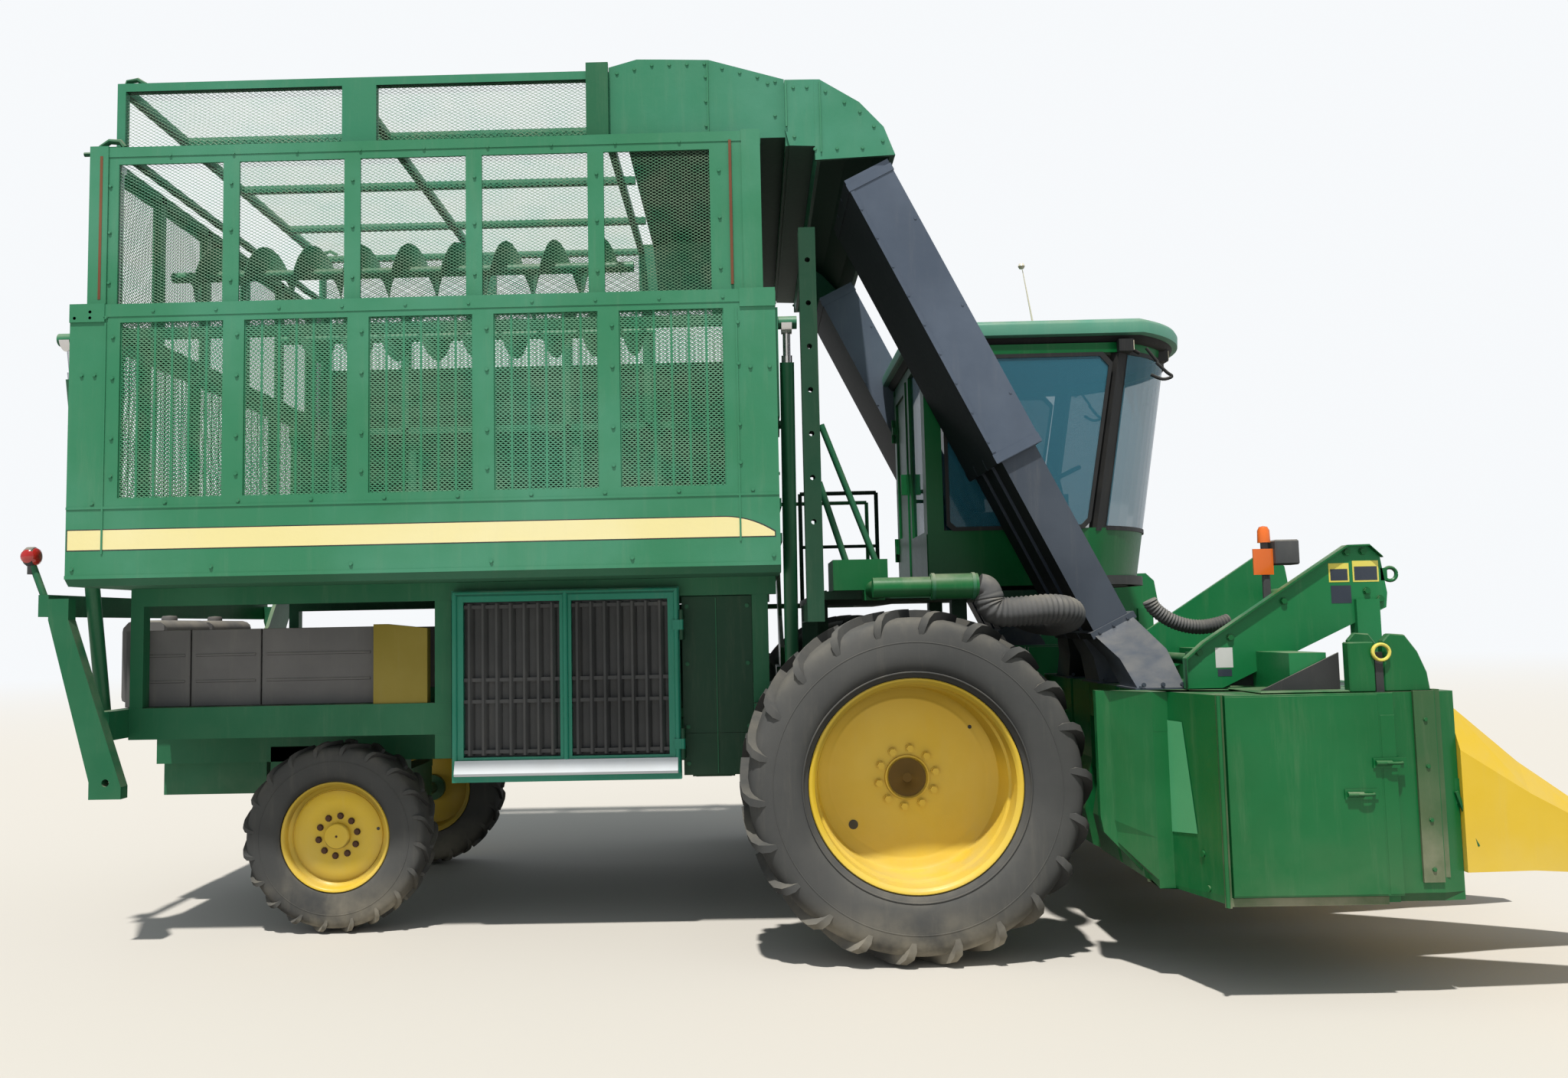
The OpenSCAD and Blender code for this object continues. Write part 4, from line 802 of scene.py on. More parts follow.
def tyre(name, body, side, centre, d, w, rim_d, lug_h, lugs):
    """A tyre of diameter d and width w; its centre is the left one, and side -1 mirrors it."""
    rubber = Shape(side)
    bead = rim_d / 2 - 0.022
    h = d / 2 - lug_h - bead
    half = [(bead + 0.001, 0.36 * w), (rim_d / 2 + 0.005, 0.365 * w),
            (rim_d / 2 + 0.006, 0.36 * w + 0.022)]
    half += curve([(rim_d / 2 + 0.010, 0.36 * w + 0.026), (bead + 0.24 * h, 0.475 * w),
                   (bead + 0.5 * h, 0.5 * w), (bead + 0.80 * h, 0.483 * w),
                   (bead + 0.95 * h, 0.42 * w), (bead + h, 0.28 * w)], 4)
    rubber.spin(half + [(r, -y) for r, y in reversed(half)], centre, "y", 96)
    for r in (rim_d / 2 + 0.035, bead + 0.62 * h):
        wide = 0.5 * w * (0.925 if r < rim_d / 2 + 0.05 else 1.0)
        rubber.spin([(r - 0.006, wide - 0.006), (r - 0.002, wide + 0.001),
                     (r + 0.002, wide + 0.001), (r + 0.006, wide - 0.006)], centre, "y", 96)
    top = d / 2
    # lateral place, height and root of one lug, how far it has swung round, its half thickness
    table = [(0.010, top, 0.02, 0.0, 0.014), (0.10, top - 0.001, 0.02, 0.055, 0.0145),
             (0.19, top - 0.005, 0.03, 0.118, 0.016), (0.235, top - 0.018, 0.04, 0.160, 0.019),
             (0.262, top - 0.052, 0.06, 0.190, 0.022), (0.268, top - 0.098, 0.09, 0.205, 0.020),
             (0.258, top - 0.150, 0.12, 0.212, 0.010)]
    scale = w / 0.53
    tall = d / 1.9
    for hand in (1, -1):
        for i in range(lugs):
            base = 2 * math.pi * (i + (0.5 if hand < 0 else 0)) / lugs - math.pi / 2
            rings = []
            for across, r, root, swing, thick in table:
                r = top - (top - r) * tall
                inner_r = r - lug_h * 1.25 + root * 0.35 * tall
                inner_y = max(0.001, across - root * 0.45) * scale
                ring = []
                for sign, radius, lateral in ((-1, r, across * scale), (1, r, across * scale),
                                              (1.35, inner_r, inner_y), (-1.35, inner_r, inner_y)):
                    a = base + swing * 1.1 + sign * thick * tall / radius
                    ring.append((centre[0] + radius * math.cos(a), centre[1] + hand * lateral,
                                 centre[2] + radius * math.sin(a)))
                rings.append(ring)
            rubber.loft(rings)
    rubber.piece(name, RUBBER, body, "tyre_rubber", [name.replace("_rubber", "")], smooth=38)


def rim(name, body, side, centre, profile, bolts, bolt_r, bolt_size, holes, finish, hub):
    """A pressed rim with its hub and holes of painted shade; bolts of another finish go with the
    hub.
    """
    metal = Shape(side)
    metal.spin(profile, centre, "y", 96)
    grime = Shape(side)
    grime.spin([(0.0, hub[1] + hub[2]), (hub[0] * 0.25, hub[1] + hub[2]),
                (hub[0] * 0.3, hub[1] + hub[2] - 0.004), (hub[0], hub[1] + 0.002)], centre, "y", 40)
    bolted, height = (metal, 1.2) if finish is None else (grime, 1.1)
    for i in range(bolts):
        a = 2 * math.pi * (i + 0.3) / bolts
        spot = (centre[0] + bolt_r * math.cos(a), centre[1] + hub[1] - 0.001,
                centre[2] + bolt_r * math.sin(a))
        bolted.bolt(spot, (0, 1, 0), bolt_size, bolt_size * height)
    metal.piece(name + "_metal", YELLOW, body, "yellow_paint", [name], smooth=35)
    grime.piece(name + "_hub", finish or HUB_GRIME, body, "yellow_paint", smooth=35)
    # painted shade: each hole is a thin dark disc on the rim, not a hole
    dark = Shape(side)
    for r, a, size, depth in holes:
        x, y, z = centre[0] + r * math.cos(a), centre[1] + depth, centre[2] + r * math.sin(a)
        dark.rod((x, y, z), (x, y + 0.002, z), size, 16)
    dark.piece(name + "_holes", BLACK, body, "dark_plastic")


HUB_GRIME = painted("hub_grime", (0.110, 0.062, 0.008), (0.150, 0.090, 0.016), 0.1, 0.0, 0.6, 0.0)
RUSTY = painted("rusty_nuts", (0.085, 0.042, 0.026), (0.130, 0.070, 0.040), 0.1, 0.0, 0.85, 0.0)
FRONT_RIM = [(0.553, 0.194), (0.573, 0.193), (0.5765, 0.198), (0.5765, 0.205), (0.571, 0.2095),
             (0.561, 0.208), (0.552, 0.200), (0.543, 0.190), (0.541, 0.170), (0.540, 0.060),
             (0.526, 0.052), (0.522, 0.035), (0.518, -0.110), (0.508, -0.140), (0.490, -0.152),
             (0.466, -0.158), (0.452, -0.166), (0.440, -0.170), (0.200, -0.187), (0.128, -0.187),
             (0.125, -0.172), (0.117, -0.170), (0.112, -0.180), (0.108, -0.189), (0.0, -0.191),
             (0.0, -0.200), (0.440, -0.190), (0.520, -0.200), (0.573, -0.209), (0.575, -0.194),
             (0.553, -0.193), (0.553, 0.194)]
REAR_RIM = [(0.313, 0.114), (0.333, 0.113), (0.3365, 0.118), (0.3365, 0.126), (0.331, 0.131),
            (0.322, 0.129), (0.313, 0.120), (0.309, 0.105), (0.306, 0.080), (0.292, 0.072),
            (0.283, 0.060), (0.280, 0.060), (0.276, 0.068), (0.262, 0.074), (0.200, 0.080),
            (0.160, 0.070), (0.080, 0.068), (0.078, 0.096), (0.072, 0.102), (0.0, 0.103),
            (0.0, 0.060), (0.280, 0.050), (0.300, -0.100), (0.333, -0.131), (0.335, -0.114),
            (0.313, -0.113), (0.313, 0.114)]
FRONT_HUB = (0.0, 1.930, 0.950)
REAR_HUB = (-3.450, 1.080, 0.580)
HANDS = ((-1, "right"), (1, "left"))

for side, hand in HANDS:
    body = "front_wheel_" + hand
    tyre(f"front_tyre_{hand}_rubber", body, side, FRONT_HUB, 1.900, 0.530, 1.150, 0.046, 22)
    rim(body, body, side, FRONT_HUB, FRONT_RIM, 10, 0.163, 0.021,
        [(0.405, 3.83, 0.027, -0.172), (0.455, 0.66, 0.011, -0.160)], None, (0.107, -0.186, 0.012))
    body = "rear_wheel_" + hand
    tyre(f"rear_tyre_{hand}_rubber", body, side, REAR_HUB, 1.160, 0.315, 0.670, 0.024, 20)
    rim(body, body, side, REAR_HUB, REAR_RIM, 10, 0.122, 0.017,
        [(0.255, 0.16, 0.010, 0.0745)], RUSTY, (0.030, 0.068, 0.036))

# The cab is welded steel with a curved windscreen that leans forward and tinted side glass.
# Black rubber seals hold the glass, and the hinges of its door are on its rear left post.

CAB_Y = 0.790
CAB_INNER_Y = 0.740
CAB_BACK = (0.302, 0.352)
CAB_FLOOR = 2.050
CAB_TOP = 3.645
SCREEN_X = 1.090
SCREEN_R = 0.860
CAB_SILL = 2.420
CAB_HEAD = 3.580

SEAL = painted("black_seal", (0.018, 0.019, 0.020), (0.032, 0.033, 0.034), 0.25, 0.0, 0.5, 0.0)
GLASS = Finish("tinted_glass")
GLASS.set(Base_Color=(0.030, 0.165, 0.235), Roughness=0.04, Alpha=0.62, Coat_Weight=0.6,
          Coat_Roughness=0.03)


def screen_x(y, z, inset=0.0):
    """Where the round windscreen is at one height; its top leans forward."""
    lean = -0.045 + (z - 2.39) * 0.168
    return SCREEN_X + math.sqrt((SCREEN_R - inset) ** 2 - y * y) + lean


cab_shell = Shape()
cab_seals = Shape()
cab_panes = Shape()
pane_y = [-0.745 + 1.49 * i / 24 for i in range(25)]
for heights in ((CAB_FLOOR, CAB_SILL), (CAB_HEAD, CAB_TOP)):
    rings = []
    for z in heights:
        ring = [(CAB_BACK[0], -CAB_Y, z)]
        ring += [(screen_x(y, z), y, z) for y in [-CAB_Y + 0.005, *pane_y, CAB_Y - 0.005]]
        ring += [(CAB_BACK[0], CAB_Y, z), (CAB_BACK[1], CAB_INNER_Y, z)]
        ring += [(screen_x(y, z, 0.05), y, z) for y in reversed(pane_y[1:-1])]
        rings.append([*ring, (CAB_BACK[1], -CAB_INNER_Y, z)])
    count = len(rings[0])
    cab_shell.add([p for ring in rings for p in ring],
                  [(i, (i + 1) % count, count + (i + 1) % count, count + i) for i in range(count)])
    # the level faces that join the outer and the inner line, at the foot and at the top
    for start in (len(cab_shell.points) - 2 * count, len(cab_shell.points) - count):
        for i in range(1, len(pane_y) + 1):
            inner = count - max(1, min(i, len(pane_y) - 2))
            cab_shell.faces.append([start + j for j in (i, i + 1, inner - 1, inner)])
for side in (-1, 1):
    y, inner_y = side * CAB_Y, side * CAB_INNER_Y
    low, high = CAB_SILL - 0.02, CAB_HEAD + 0.02
    posts = [(screen_x(0.755, z), z) for z in (low, high)]
    cab_seals.loft([[(x - 0.055, y, z), (x + 0.030, side * 0.730, z),
                     (x - 0.010, side * 0.690, z), (x - 0.095, inner_y, z)] for x, z in posts])
    cab_shell.loft([[(CAB_BACK[0], y, z), (0.410, y, z), (0.410, inner_y, z),
                     (CAB_BACK[0], inner_y, z)] for z in (low, high)])
    back = 0.428
    front_low, front_high = (x - 0.075 for x, z in posts)
    frame_line = [(back, low + 0.05), (back + 0.04, low + 0.015), (front_low - 0.06, low + 0.015),
                  (front_low - 0.015, low + 0.06), (front_high - 0.03, high - 0.09),
                  (front_high - 0.09, high - 0.020), (back + 0.05, high - 0.020),
                  (back, high - 0.07)]
    centre_x = sum(p[0] for p in frame_line) / 8
    middle = [(centre_x + (x - centre_x) * 0.955, 3.0 + (z - 3.0) * 0.955) for x, z in frame_line]
    rings = [[(x, side * d, z) for x, z in line] for line, d in
             ((frame_line, 0.786), (frame_line, 0.797), (middle, 0.797), (middle, 0.786))]
    cab_seals.loft([*rings, rings[0]], ends=False)
    cab_panes.prism(middle, "y", side * 0.783, side * 0.789)
foot, top = CAB_SILL - 0.005, CAB_HEAD + 0.005
for a, b in zip(pane_y, pane_y[1:]):
    cab_panes.add([(screen_x(y, z), y, z) for y, z in ((a, foot), (b, foot), (b, top), (a, top))],
                  [(0, 1, 2, 3)])
for z in (CAB_SILL, CAB_HEAD):
    rings = []
    for y in pane_y:
        x = screen_x(y, z)
        rings.append([(x - 0.012, y, z - 0.014), (x + 0.010, y, z - 0.014),
                      (x + 0.010, y, z + 0.014), (x - 0.012, y, z + 0.014)])
    cab_seals.loft(rings)
for y, z in (((-CAB_INNER_Y, 0.05), (CAB_FLOOR, CAB_SILL)),
             ((0.69, CAB_INNER_Y), (CAB_FLOOR, CAB_TOP)),
             ((-CAB_INNER_Y, -0.65), (CAB_SILL, CAB_HEAD)), ((-0.05, 0.05), (CAB_SILL, CAB_HEAD)),
             ((-CAB_INNER_Y, CAB_INNER_Y), (CAB_HEAD, CAB_TOP))):
    cab_shell.box(CAB_BACK, y, z)
cab_panes.box((0.320, 0.330), (-0.65, -0.05), (CAB_SILL, CAB_HEAD))
for z in (2.350, 3.280):
    for low in (z - 0.06, z + 0.06):
        cab_shell.rod((0.276, 0.690, low), (0.276, 0.690, low + 0.06), 0.012, 14)
        cab_shell.box((0.276, CAB_BACK[0]), (0.690, 0.714), (low, low + 0.06))
cab_shell.piece("cab_shell", DEEP_GREEN, "chassis", replaced=["cab_frame"], smooth=30)
cab_seals.piece("cab_seals", SEAL, "chassis", "dark_plastic", smooth=30)
cab_panes.piece("cab_panes", GLASS.material, "chassis", "tinted_glass", ["cab_glass"], smooth=30)

# The cab's roof is a moulded plastic shell in a paler green, rounded in front. A black lining
# with two small grips closes it from below.

ROOF_HALF_Y = 0.83
PALE_GREEN = painted("pale_green", (0.090, 0.290, 0.200), (0.120, 0.340, 0.250), 0.4, 0.0, 0.4,
                     0.12)


def roof_plan(z, inset):
    """The roof's outline at one height, straight behind and round in front."""
    points = []
    for i in range(41):
        y = -ROOF_HALF_Y + inset + (2 * ROOF_HALF_Y - 2 * inset) * i / 40
        points.append((1.22 + math.sqrt((0.99 - inset) ** 2 - y * y), y, z))
    (first_x, first_y, _), (last_x, last_y, _) = points[0], points[-1]
    return [(0.22 + inset, -ROOF_HALF_Y + inset, z), (first_x - 0.07, first_y, z), *points,
            (last_x - 0.07, last_y, z), (0.22 + inset, ROOF_HALF_Y - inset, z)]


roof = Shape()
roof.loft([roof_plan(z, inset) for z, inset in
           ((3.690, 0.020), (3.700, 0.003), (3.765, 0.0), (3.788, 0.012), (3.802, 0.045),
            (3.808, 0.10), (3.812, 0.30))])
roof.piece("cab_roof_panel", PALE_GREEN, "chassis", replaced=["cab_roof"], smooth=40)
lining = Shape()
lining.loft([roof_plan(z, inset) for z, inset in
             ((3.645, 0.075), (3.655, 0.058), (3.689, 0.040))])
lining.box((0.40, 1.50), (-0.70, 0.70), (3.600, 3.644))
for y in (-0.93 * ROOF_HALF_Y, 0.93 * ROOF_HALF_Y):
    lining.rod((1.60, y, 3.66), (1.74, y, 3.57), 0.012, 8)
lining.piece("cab_roof_underside", SEAL, "chassis", "dark_plastic", smooth=40)

# Square work lamps hang under the roof's front edge and a bent grip stands at each corner. The
# aerial is a thin rod on a small foot, with a round tip.

LAMP_GLASS = painted("lamp_glass", (0.80, 0.72, 0.55), (0.86, 0.80, 0.66), 0.1, 0.0, 0.2, 0.4)
lamps = Shape()
lenses = Shape()
for y in (-0.78, -0.42, 0.42, 0.78):
    x = 1.20 + math.sqrt(0.90 ** 2 - y * y)
    lamps.box((x - 0.06, x + 0.035), (y - 0.06, y + 0.06), (3.575, 3.655))
    lenses.box((x + 0.035, x + 0.041), (y - 0.052, y + 0.052), (3.583, 3.647))
for side in (-1, 1):
    lamps.pipe(curve([(1.84, side * 0.80, 3.50), (1.90, side * 0.815, 3.43),
                      (1.93, side * 0.82, 3.40), (1.87, side * 0.815, 3.385),
                      (1.80, side * 0.80, 3.42)], 4), 0.011, 8)
    lamps.rod((1.78, side * 0.79, 3.60), (1.85, side * 0.80, 3.50), 0.010, 8)
lamps.piece("cab_lamps", SEAL, "chassis", "dark_plastic", smooth=35)
lenses.piece("cab_lamp_lenses", LAMP_GLASS, "chassis", "cast_block")

aerial = Shape()
aerial.pipe([(1.148, -0.4, 3.800), (1.110, -0.4, 4.05), (1.078, -0.4, 4.26)],
            [0.007, 0.005, 0.003], 8)
aerial.spin([(0.0, 4.262), (0.016, 4.268), (0.024, 4.285), (0.016, 4.302), (0.0, 4.308)],
            (1.072, -0.4, 0), "z", 16)
aerial.box((1.10, 1.19), (-0.43, -0.37), (3.800, 3.830))
aerial.piece("aerial", LAMP_GLASS, "chassis", "cast_block", smooth=40)

# The seat is foam under dark cloth, with a back, a head rest, a squab and two arm rests. It
# stands on a round post.

TRIM = painted("seat_cloth", (0.060, 0.062, 0.066), (0.090, 0.092, 0.096), 0.1, 0.0, 0.9, 0.0)
seat_back = [(0.66, 2.60), (0.80, 2.58), (0.74, 3.05), (0.70, 3.30), (0.62, 3.32), (0.60, 3.05)]
head_rest = [(0.64, 3.30), (0.73, 3.31), (0.70, 3.48), (0.62, 3.47)]
seat_squab = [(0.72, 2.46), (1.18, 2.48), (1.19, 2.56), (1.10, 2.60), (0.74, 2.58)]
arm_rest = [(0.75, 2.72), (1.15, 2.74), (1.15, 2.80), (0.75, 2.79)]
seat = Shape()
for outline, y in ((seat_back, (-0.235, 0.235)), (head_rest, (-0.13, 0.13)),
                   (seat_squab, (-0.25, 0.25)), (arm_rest, (-0.33, -0.25)),
                   (arm_rest, (0.25, 0.33))):
    seat.prism(outline, "y", *y)
cushions = seat.piece("seat_cushions", TRIM, "chassis", "seat_fabric", ["cab_seat"], bevel=0.018,
                      smooth=40)
base = Shape()
base.rod((0.92, 0, 2.11), (0.92, 0, 2.47), 0.12, 20)
base.piece("seat_base", SEAL, "chassis", "dark_plastic", smooth=40)

# Three square sheet metal ducts on each side carry the cotton up from the header. The upper
# duct slides over the lower one, and each lower duct stands on a flared boot with a bolted
# flange.

DUCT_SLOPE = math.radians(63.7)
DUCT_HEAD = (-0.133, 4.496)
DUCT_YS = (1.000, 1.300, 1.600)
BOOT_YS = (0.750, 1.450, 2.150)
LOWER_HALF = 0.110
UPPER_L = 1.900
BOOT_TOP = 3.052
BOOT_X = (1.155, 1.405)
BOOT_FOOT = 1.4506
CAP_Z = 1.459

# The ducts' slate paint carries strong painted shade on the faces that point down.
SLATE = painted("slate_paint", (0.072, 0.095, 0.135), (0.115, 0.145, 0.195), 0.3, 0.0, 0.42, 0.15,
                underside_shade=1.25)
# The boots and the lower ducts wear a darker copy of the slate paint, which is painted shade.
SHADED_SLATE = painted("shaded_slate", (0.040, 0.052, 0.072), (0.070, 0.086, 0.112), 0.2, 0.0, 0.42,
                     0.15, underside_shade=1.0)
wear(SLATE, "ducts_upper", "ducts_lower")


def on_duct(y, along, across, out):
    """A point of a duct: along from its head, across in Y, out from its axis, up and forward."""
    cos, sin = math.cos(DUCT_SLOPE), math.sin(DUCT_SLOPE)
    return (DUCT_HEAD[0] + along * cos + out * sin, y + across,
            DUCT_HEAD[1] - along * sin + out * cos)


def duct_ring(y, along, half):
    """A square round a duct's axis."""
    return [on_duct(y, along, a * half, b * half) for a, b in ((-1, -1), (1, -1), (1, 1), (-1, 1))]


for side, hand in HANDS:
    trim = Shape(side)
    boots = Shape(side)
    for y, boot_y in zip(DUCT_YS, BOOT_YS):
        for start, stop, half in ((0.03, 0.075, 0.149), (UPPER_L - 0.060, UPPER_L - 0.004, 0.148)):
            rings = [duct_ring(y, along, r) for along, r in
                     ((start, 0.1445), (start, half), (stop, half), (stop, 0.1445))]
            trim.loft([*rings, rings[0]], ends=False)
        for hand_y in (-1, 1):
            trim.loft([[on_duct(y, t, hand_y * across, out) for across, out in
                        ((0.144, -0.144), (0.150, -0.144), (0.150, -0.120), (0.144, -0.120))]
                       for t in (0.08, UPPER_L - 0.07)])
            for i in range(9):
                t = 0.20 + i * 0.195
                trim.rod(on_duct(y, t, hand_y * 0.149, -0.132),
                         on_duct(y, t, hand_y * 0.1535, -0.132), 0.008, 8)
                if i % 3 == 1:
                    trim.rod(on_duct(y, t, hand_y * 0.1435, 0.120),
                             on_duct(y, t, hand_y * 0.1475, 0.120), 0.008, 8)
        boots.loft([duct_ring(y, t, LOWER_HALF) for t in (UPPER_L - 0.50, BOOT_TOP - 0.02)])
        foot = [(BOOT_X[0], boot_y - 0.15), (BOOT_X[0], boot_y + 0.15), (BOOT_X[1], boot_y + 0.15),
                (BOOT_X[1], boot_y - 0.15)]
        top = duct_ring(y, BOOT_TOP - 0.03, LOWER_HALF + 0.012)
        knee = [tuple(0.45 * p + 0.55 * q for p, q in zip(a, (x, w, 1.50)))
                for a, (x, w) in zip(top, foot)]
        knee = [(x + d, w, z) for (x, w, z), d in zip(knee, (0.015, 0.015, 0.035, 0.035))]
        boots.loft([top, knee, [(x, w, BOOT_FOOT) for x, w in foot]])
        boots.loft([duct_ring(y, BOOT_TOP - t, LOWER_HALF + 0.030) for t in (0.05, 0.01)])
        boots.box((BOOT_X[0] - 0.02, BOOT_X[1] + 0.02), (boot_y - 0.168, boot_y + 0.168),
                  (BOOT_FOOT, CAP_Z))
        for x in (BOOT_X[0] + 0.01, 1.28, BOOT_X[1] - 0.01):
            for w in (-0.160, 0.160):
                boots.bolt((x, boot_y + w, CAP_Z), (0, 0, 1), 0.009, 0.010)
        for x in (1.18, 1.28, 1.38):
            boots.bolt((x, boot_y + 0.163, 1.475), (0, 1, 0), 0.010, 0.010)
        for a in (-0.09, 0.0, 0.09):
            boots.bolt(on_duct(y, BOOT_TOP - 0.03, LOWER_HALF + 0.029, a), (0, 1, 0), 0.008, 0.010)
    trim.piece(f"duct_trim_{hand}", SLATE, "duct_slide", "slate_paint")
    # the boots and lower ducts take the darker slate: painted shade
    boots.piece(f"duct_boots_{hand}", SHADED_SLATE, "header", "slate_paint",
                ["ducts_lower"] if side < 0 else (), smooth=25)


# Fan air leaves a green pipe through a thick corrugated hose of moulded rubber, clamped at the
# pipe, that passes behind the ducts and ends under the deck. A thinner hose lies on the header.

AIR_PIPE = (-2.05, 2.02)


def corrugated(path, radius, pitch, depth):
    """Points along a smooth path and the radii that make it a corrugated hose."""
    length = sum((Vector(b) - Vector(a)).length for a, b in zip(path, path[1:]))
    count = max(4, round(length / pitch))
    points, radii = [], []
    for i in range(count * 4 + 1):
        goal = i / (count * 4) * length
        for a, b in zip(path, path[1:]):
            step = (Vector(b) - Vector(a)).length
            if goal <= step + 1e-9:
                points.append(tuple(Vector(a).lerp(Vector(b), min(1.0, goal / step))))
                break
            goal -= step
        else:
            points.append(path[-1])
        radii.append(radius - depth * (0.5 + 0.5 * math.cos(math.pi * i / 2)))
    return points, radii


AIR_HOSE = [(0.385, -2.05, 2.020), (0.424, -2.05, 2.003), (0.440, -2.05, 1.962),
            (0.446, -2.052, 1.925), (0.466, -2.058, 1.888), (0.514, -2.062, 1.872),
            (0.590, -2.062, 1.874), (0.680, -2.060, 1.880), (0.755, -2.050, 1.884),
            (0.828, -2.028, 1.880), (0.885, -1.985, 1.868), (0.915, -1.920, 1.850),
            (0.912, -1.850, 1.834), (0.890, -1.770, 1.822), (0.872, -1.660, 1.815),
            (0.868, -1.300, 1.825), (0.868, -0.950, 1.850), (0.870, -0.740, 1.895)]
THIN_HOSE = [(1.395, -1.80, 1.925), (1.420, -1.80, 1.880), (1.470, -1.80, 1.835),
             (1.540, -1.80, 1.795), (1.620, -1.80, 1.772), (1.700, -1.80, 1.768),
             (1.780, -1.80, 1.782), (1.840, -1.80, 1.800)]
points, radii = corrugated(curve(AIR_HOSE, 5), 0.084, 0.026, 0.008)
# the hose starts as narrow as the pipe that it is pushed into
radii = [min(r, 0.069 + 0.22 * i / len(radii)) for i, r in enumerate(radii)]
hose = Shape()
hose.pipe(points, radii, 20)
hose.piece("air_hose", SMOOTH_RUBBER, "chassis", "tyre_rubber", smooth=50)
cuff = Shape()
for x in (0.135, 0.355):
    cuff.spin([(0.069, x - 0.009), (0.074, x - 0.009), (0.074, x + 0.009), (0.069, x + 0.009)],
              (0, *AIR_PIPE), "x", 28)
cuff.piece("hose_clamps", GRIMY_GREEN, "chassis", smooth=40)
points, radii = corrugated(curve(THIN_HOSE, 5), 0.043, 0.018, 0.005)
hose = Shape()
hose.pipe(points, radii, 16)
hose.piece("header_hose", SMOOTH_RUBBER, "header", "tyre_rubber", smooth=50)

# Two slanting tubes and an upright one, welded at their ends, brace the deck at the basket's
# front mast.

BRACE_Y = -1.20
DECK_Z = (1.970, 2.020)
BRACE_FOOT = DECK_Z[1] + 0.010
braces = Shape()
for x, top, foot_x in ((-0.402, 3.07, -0.02), (-0.423, 2.708, -0.215)):
    braces.pipe([(x, BRACE_Y, top), (foot_x, BRACE_Y, BRACE_FOOT)], 0.021, 10)
braces.rod((-0.44, BRACE_Y, BRACE_FOOT), (-0.44, BRACE_Y, 3.10), 0.020, 10)
braces.piece("deck_braces", GRIMY_GREEN, "chassis", smooth=40)

# The header is six welded cabinets on a tool bar, each with a passage for its row of plants.
# The outer ones have a slanting access panel, a hinged door with latches and a dusty front
# strip, and the lifting arms are bolted on above them. A thin sheet of paler green on the
# slanting panel is painted sunlight.

HEADER_TOP = 1.4505
ROW_PITCH = 0.965
CABINET_SIDE = [(1.140, 0.490), (1.240, 0.440), (2.480, 0.440), (2.480, 1.450), (1.155, 1.450),
                (1.155, 1.000), (1.100, 0.700)]

DULL_GREEN = painted("dull_green", (0.030, 0.105, 0.038), (0.085, 0.115, 0.052), 0.5, 0.55, 0.7,
                     0.0, low=(0.35, 1.2))
# The paler green is painted sunlight for the slanting access panel.
PAINTED_SUNLIGHT_GREEN = painted("painted_sunlight_green", (0.070, 0.340, 0.150), (0.095, 0.390, 0.180), 0.2, 0.1, 0.4)
LABEL_YELLOW = painted("label_yellow", (0.72, 0.62, 0.08), (0.76, 0.68, 0.20), 0.1, 0.0, 0.5, 0.0)

inside = Shape()
for row in (-2.5, -1.5, -0.5, 0.5, 1.5, 2.5):
    middle = row * ROW_PITCH
    for hand in (-1, 1):
        if hand * row == 2.5:
            continue
        inside.prism(CABINET_SIDE, "y", *sorted((middle + hand * 0.085, middle + hand * 0.4575)))
    inside.box((1.156, 2.479), (middle - 0.086, middle + 0.086), (1.25, 1.449))
    for x in (1.32, 1.62, 1.92, 2.22):
        for y in ((middle - 0.084, middle - 0.050), (middle + 0.050, middle + 0.084)):
            inside.box((x, x + 0.02), y, (0.50, 1.20))
inside.piece("row_cabinet_shells", DEEP_GREEN, "header", replaced=["row_cabinets"])


def slant(y, z, out=0.0):
    """A point of the slanting access panel, out from its face."""
    t = (y - 2.300) / 0.568
    return 1.175 + t * 0.170 - out * 0.96, y + out * 0.287, z


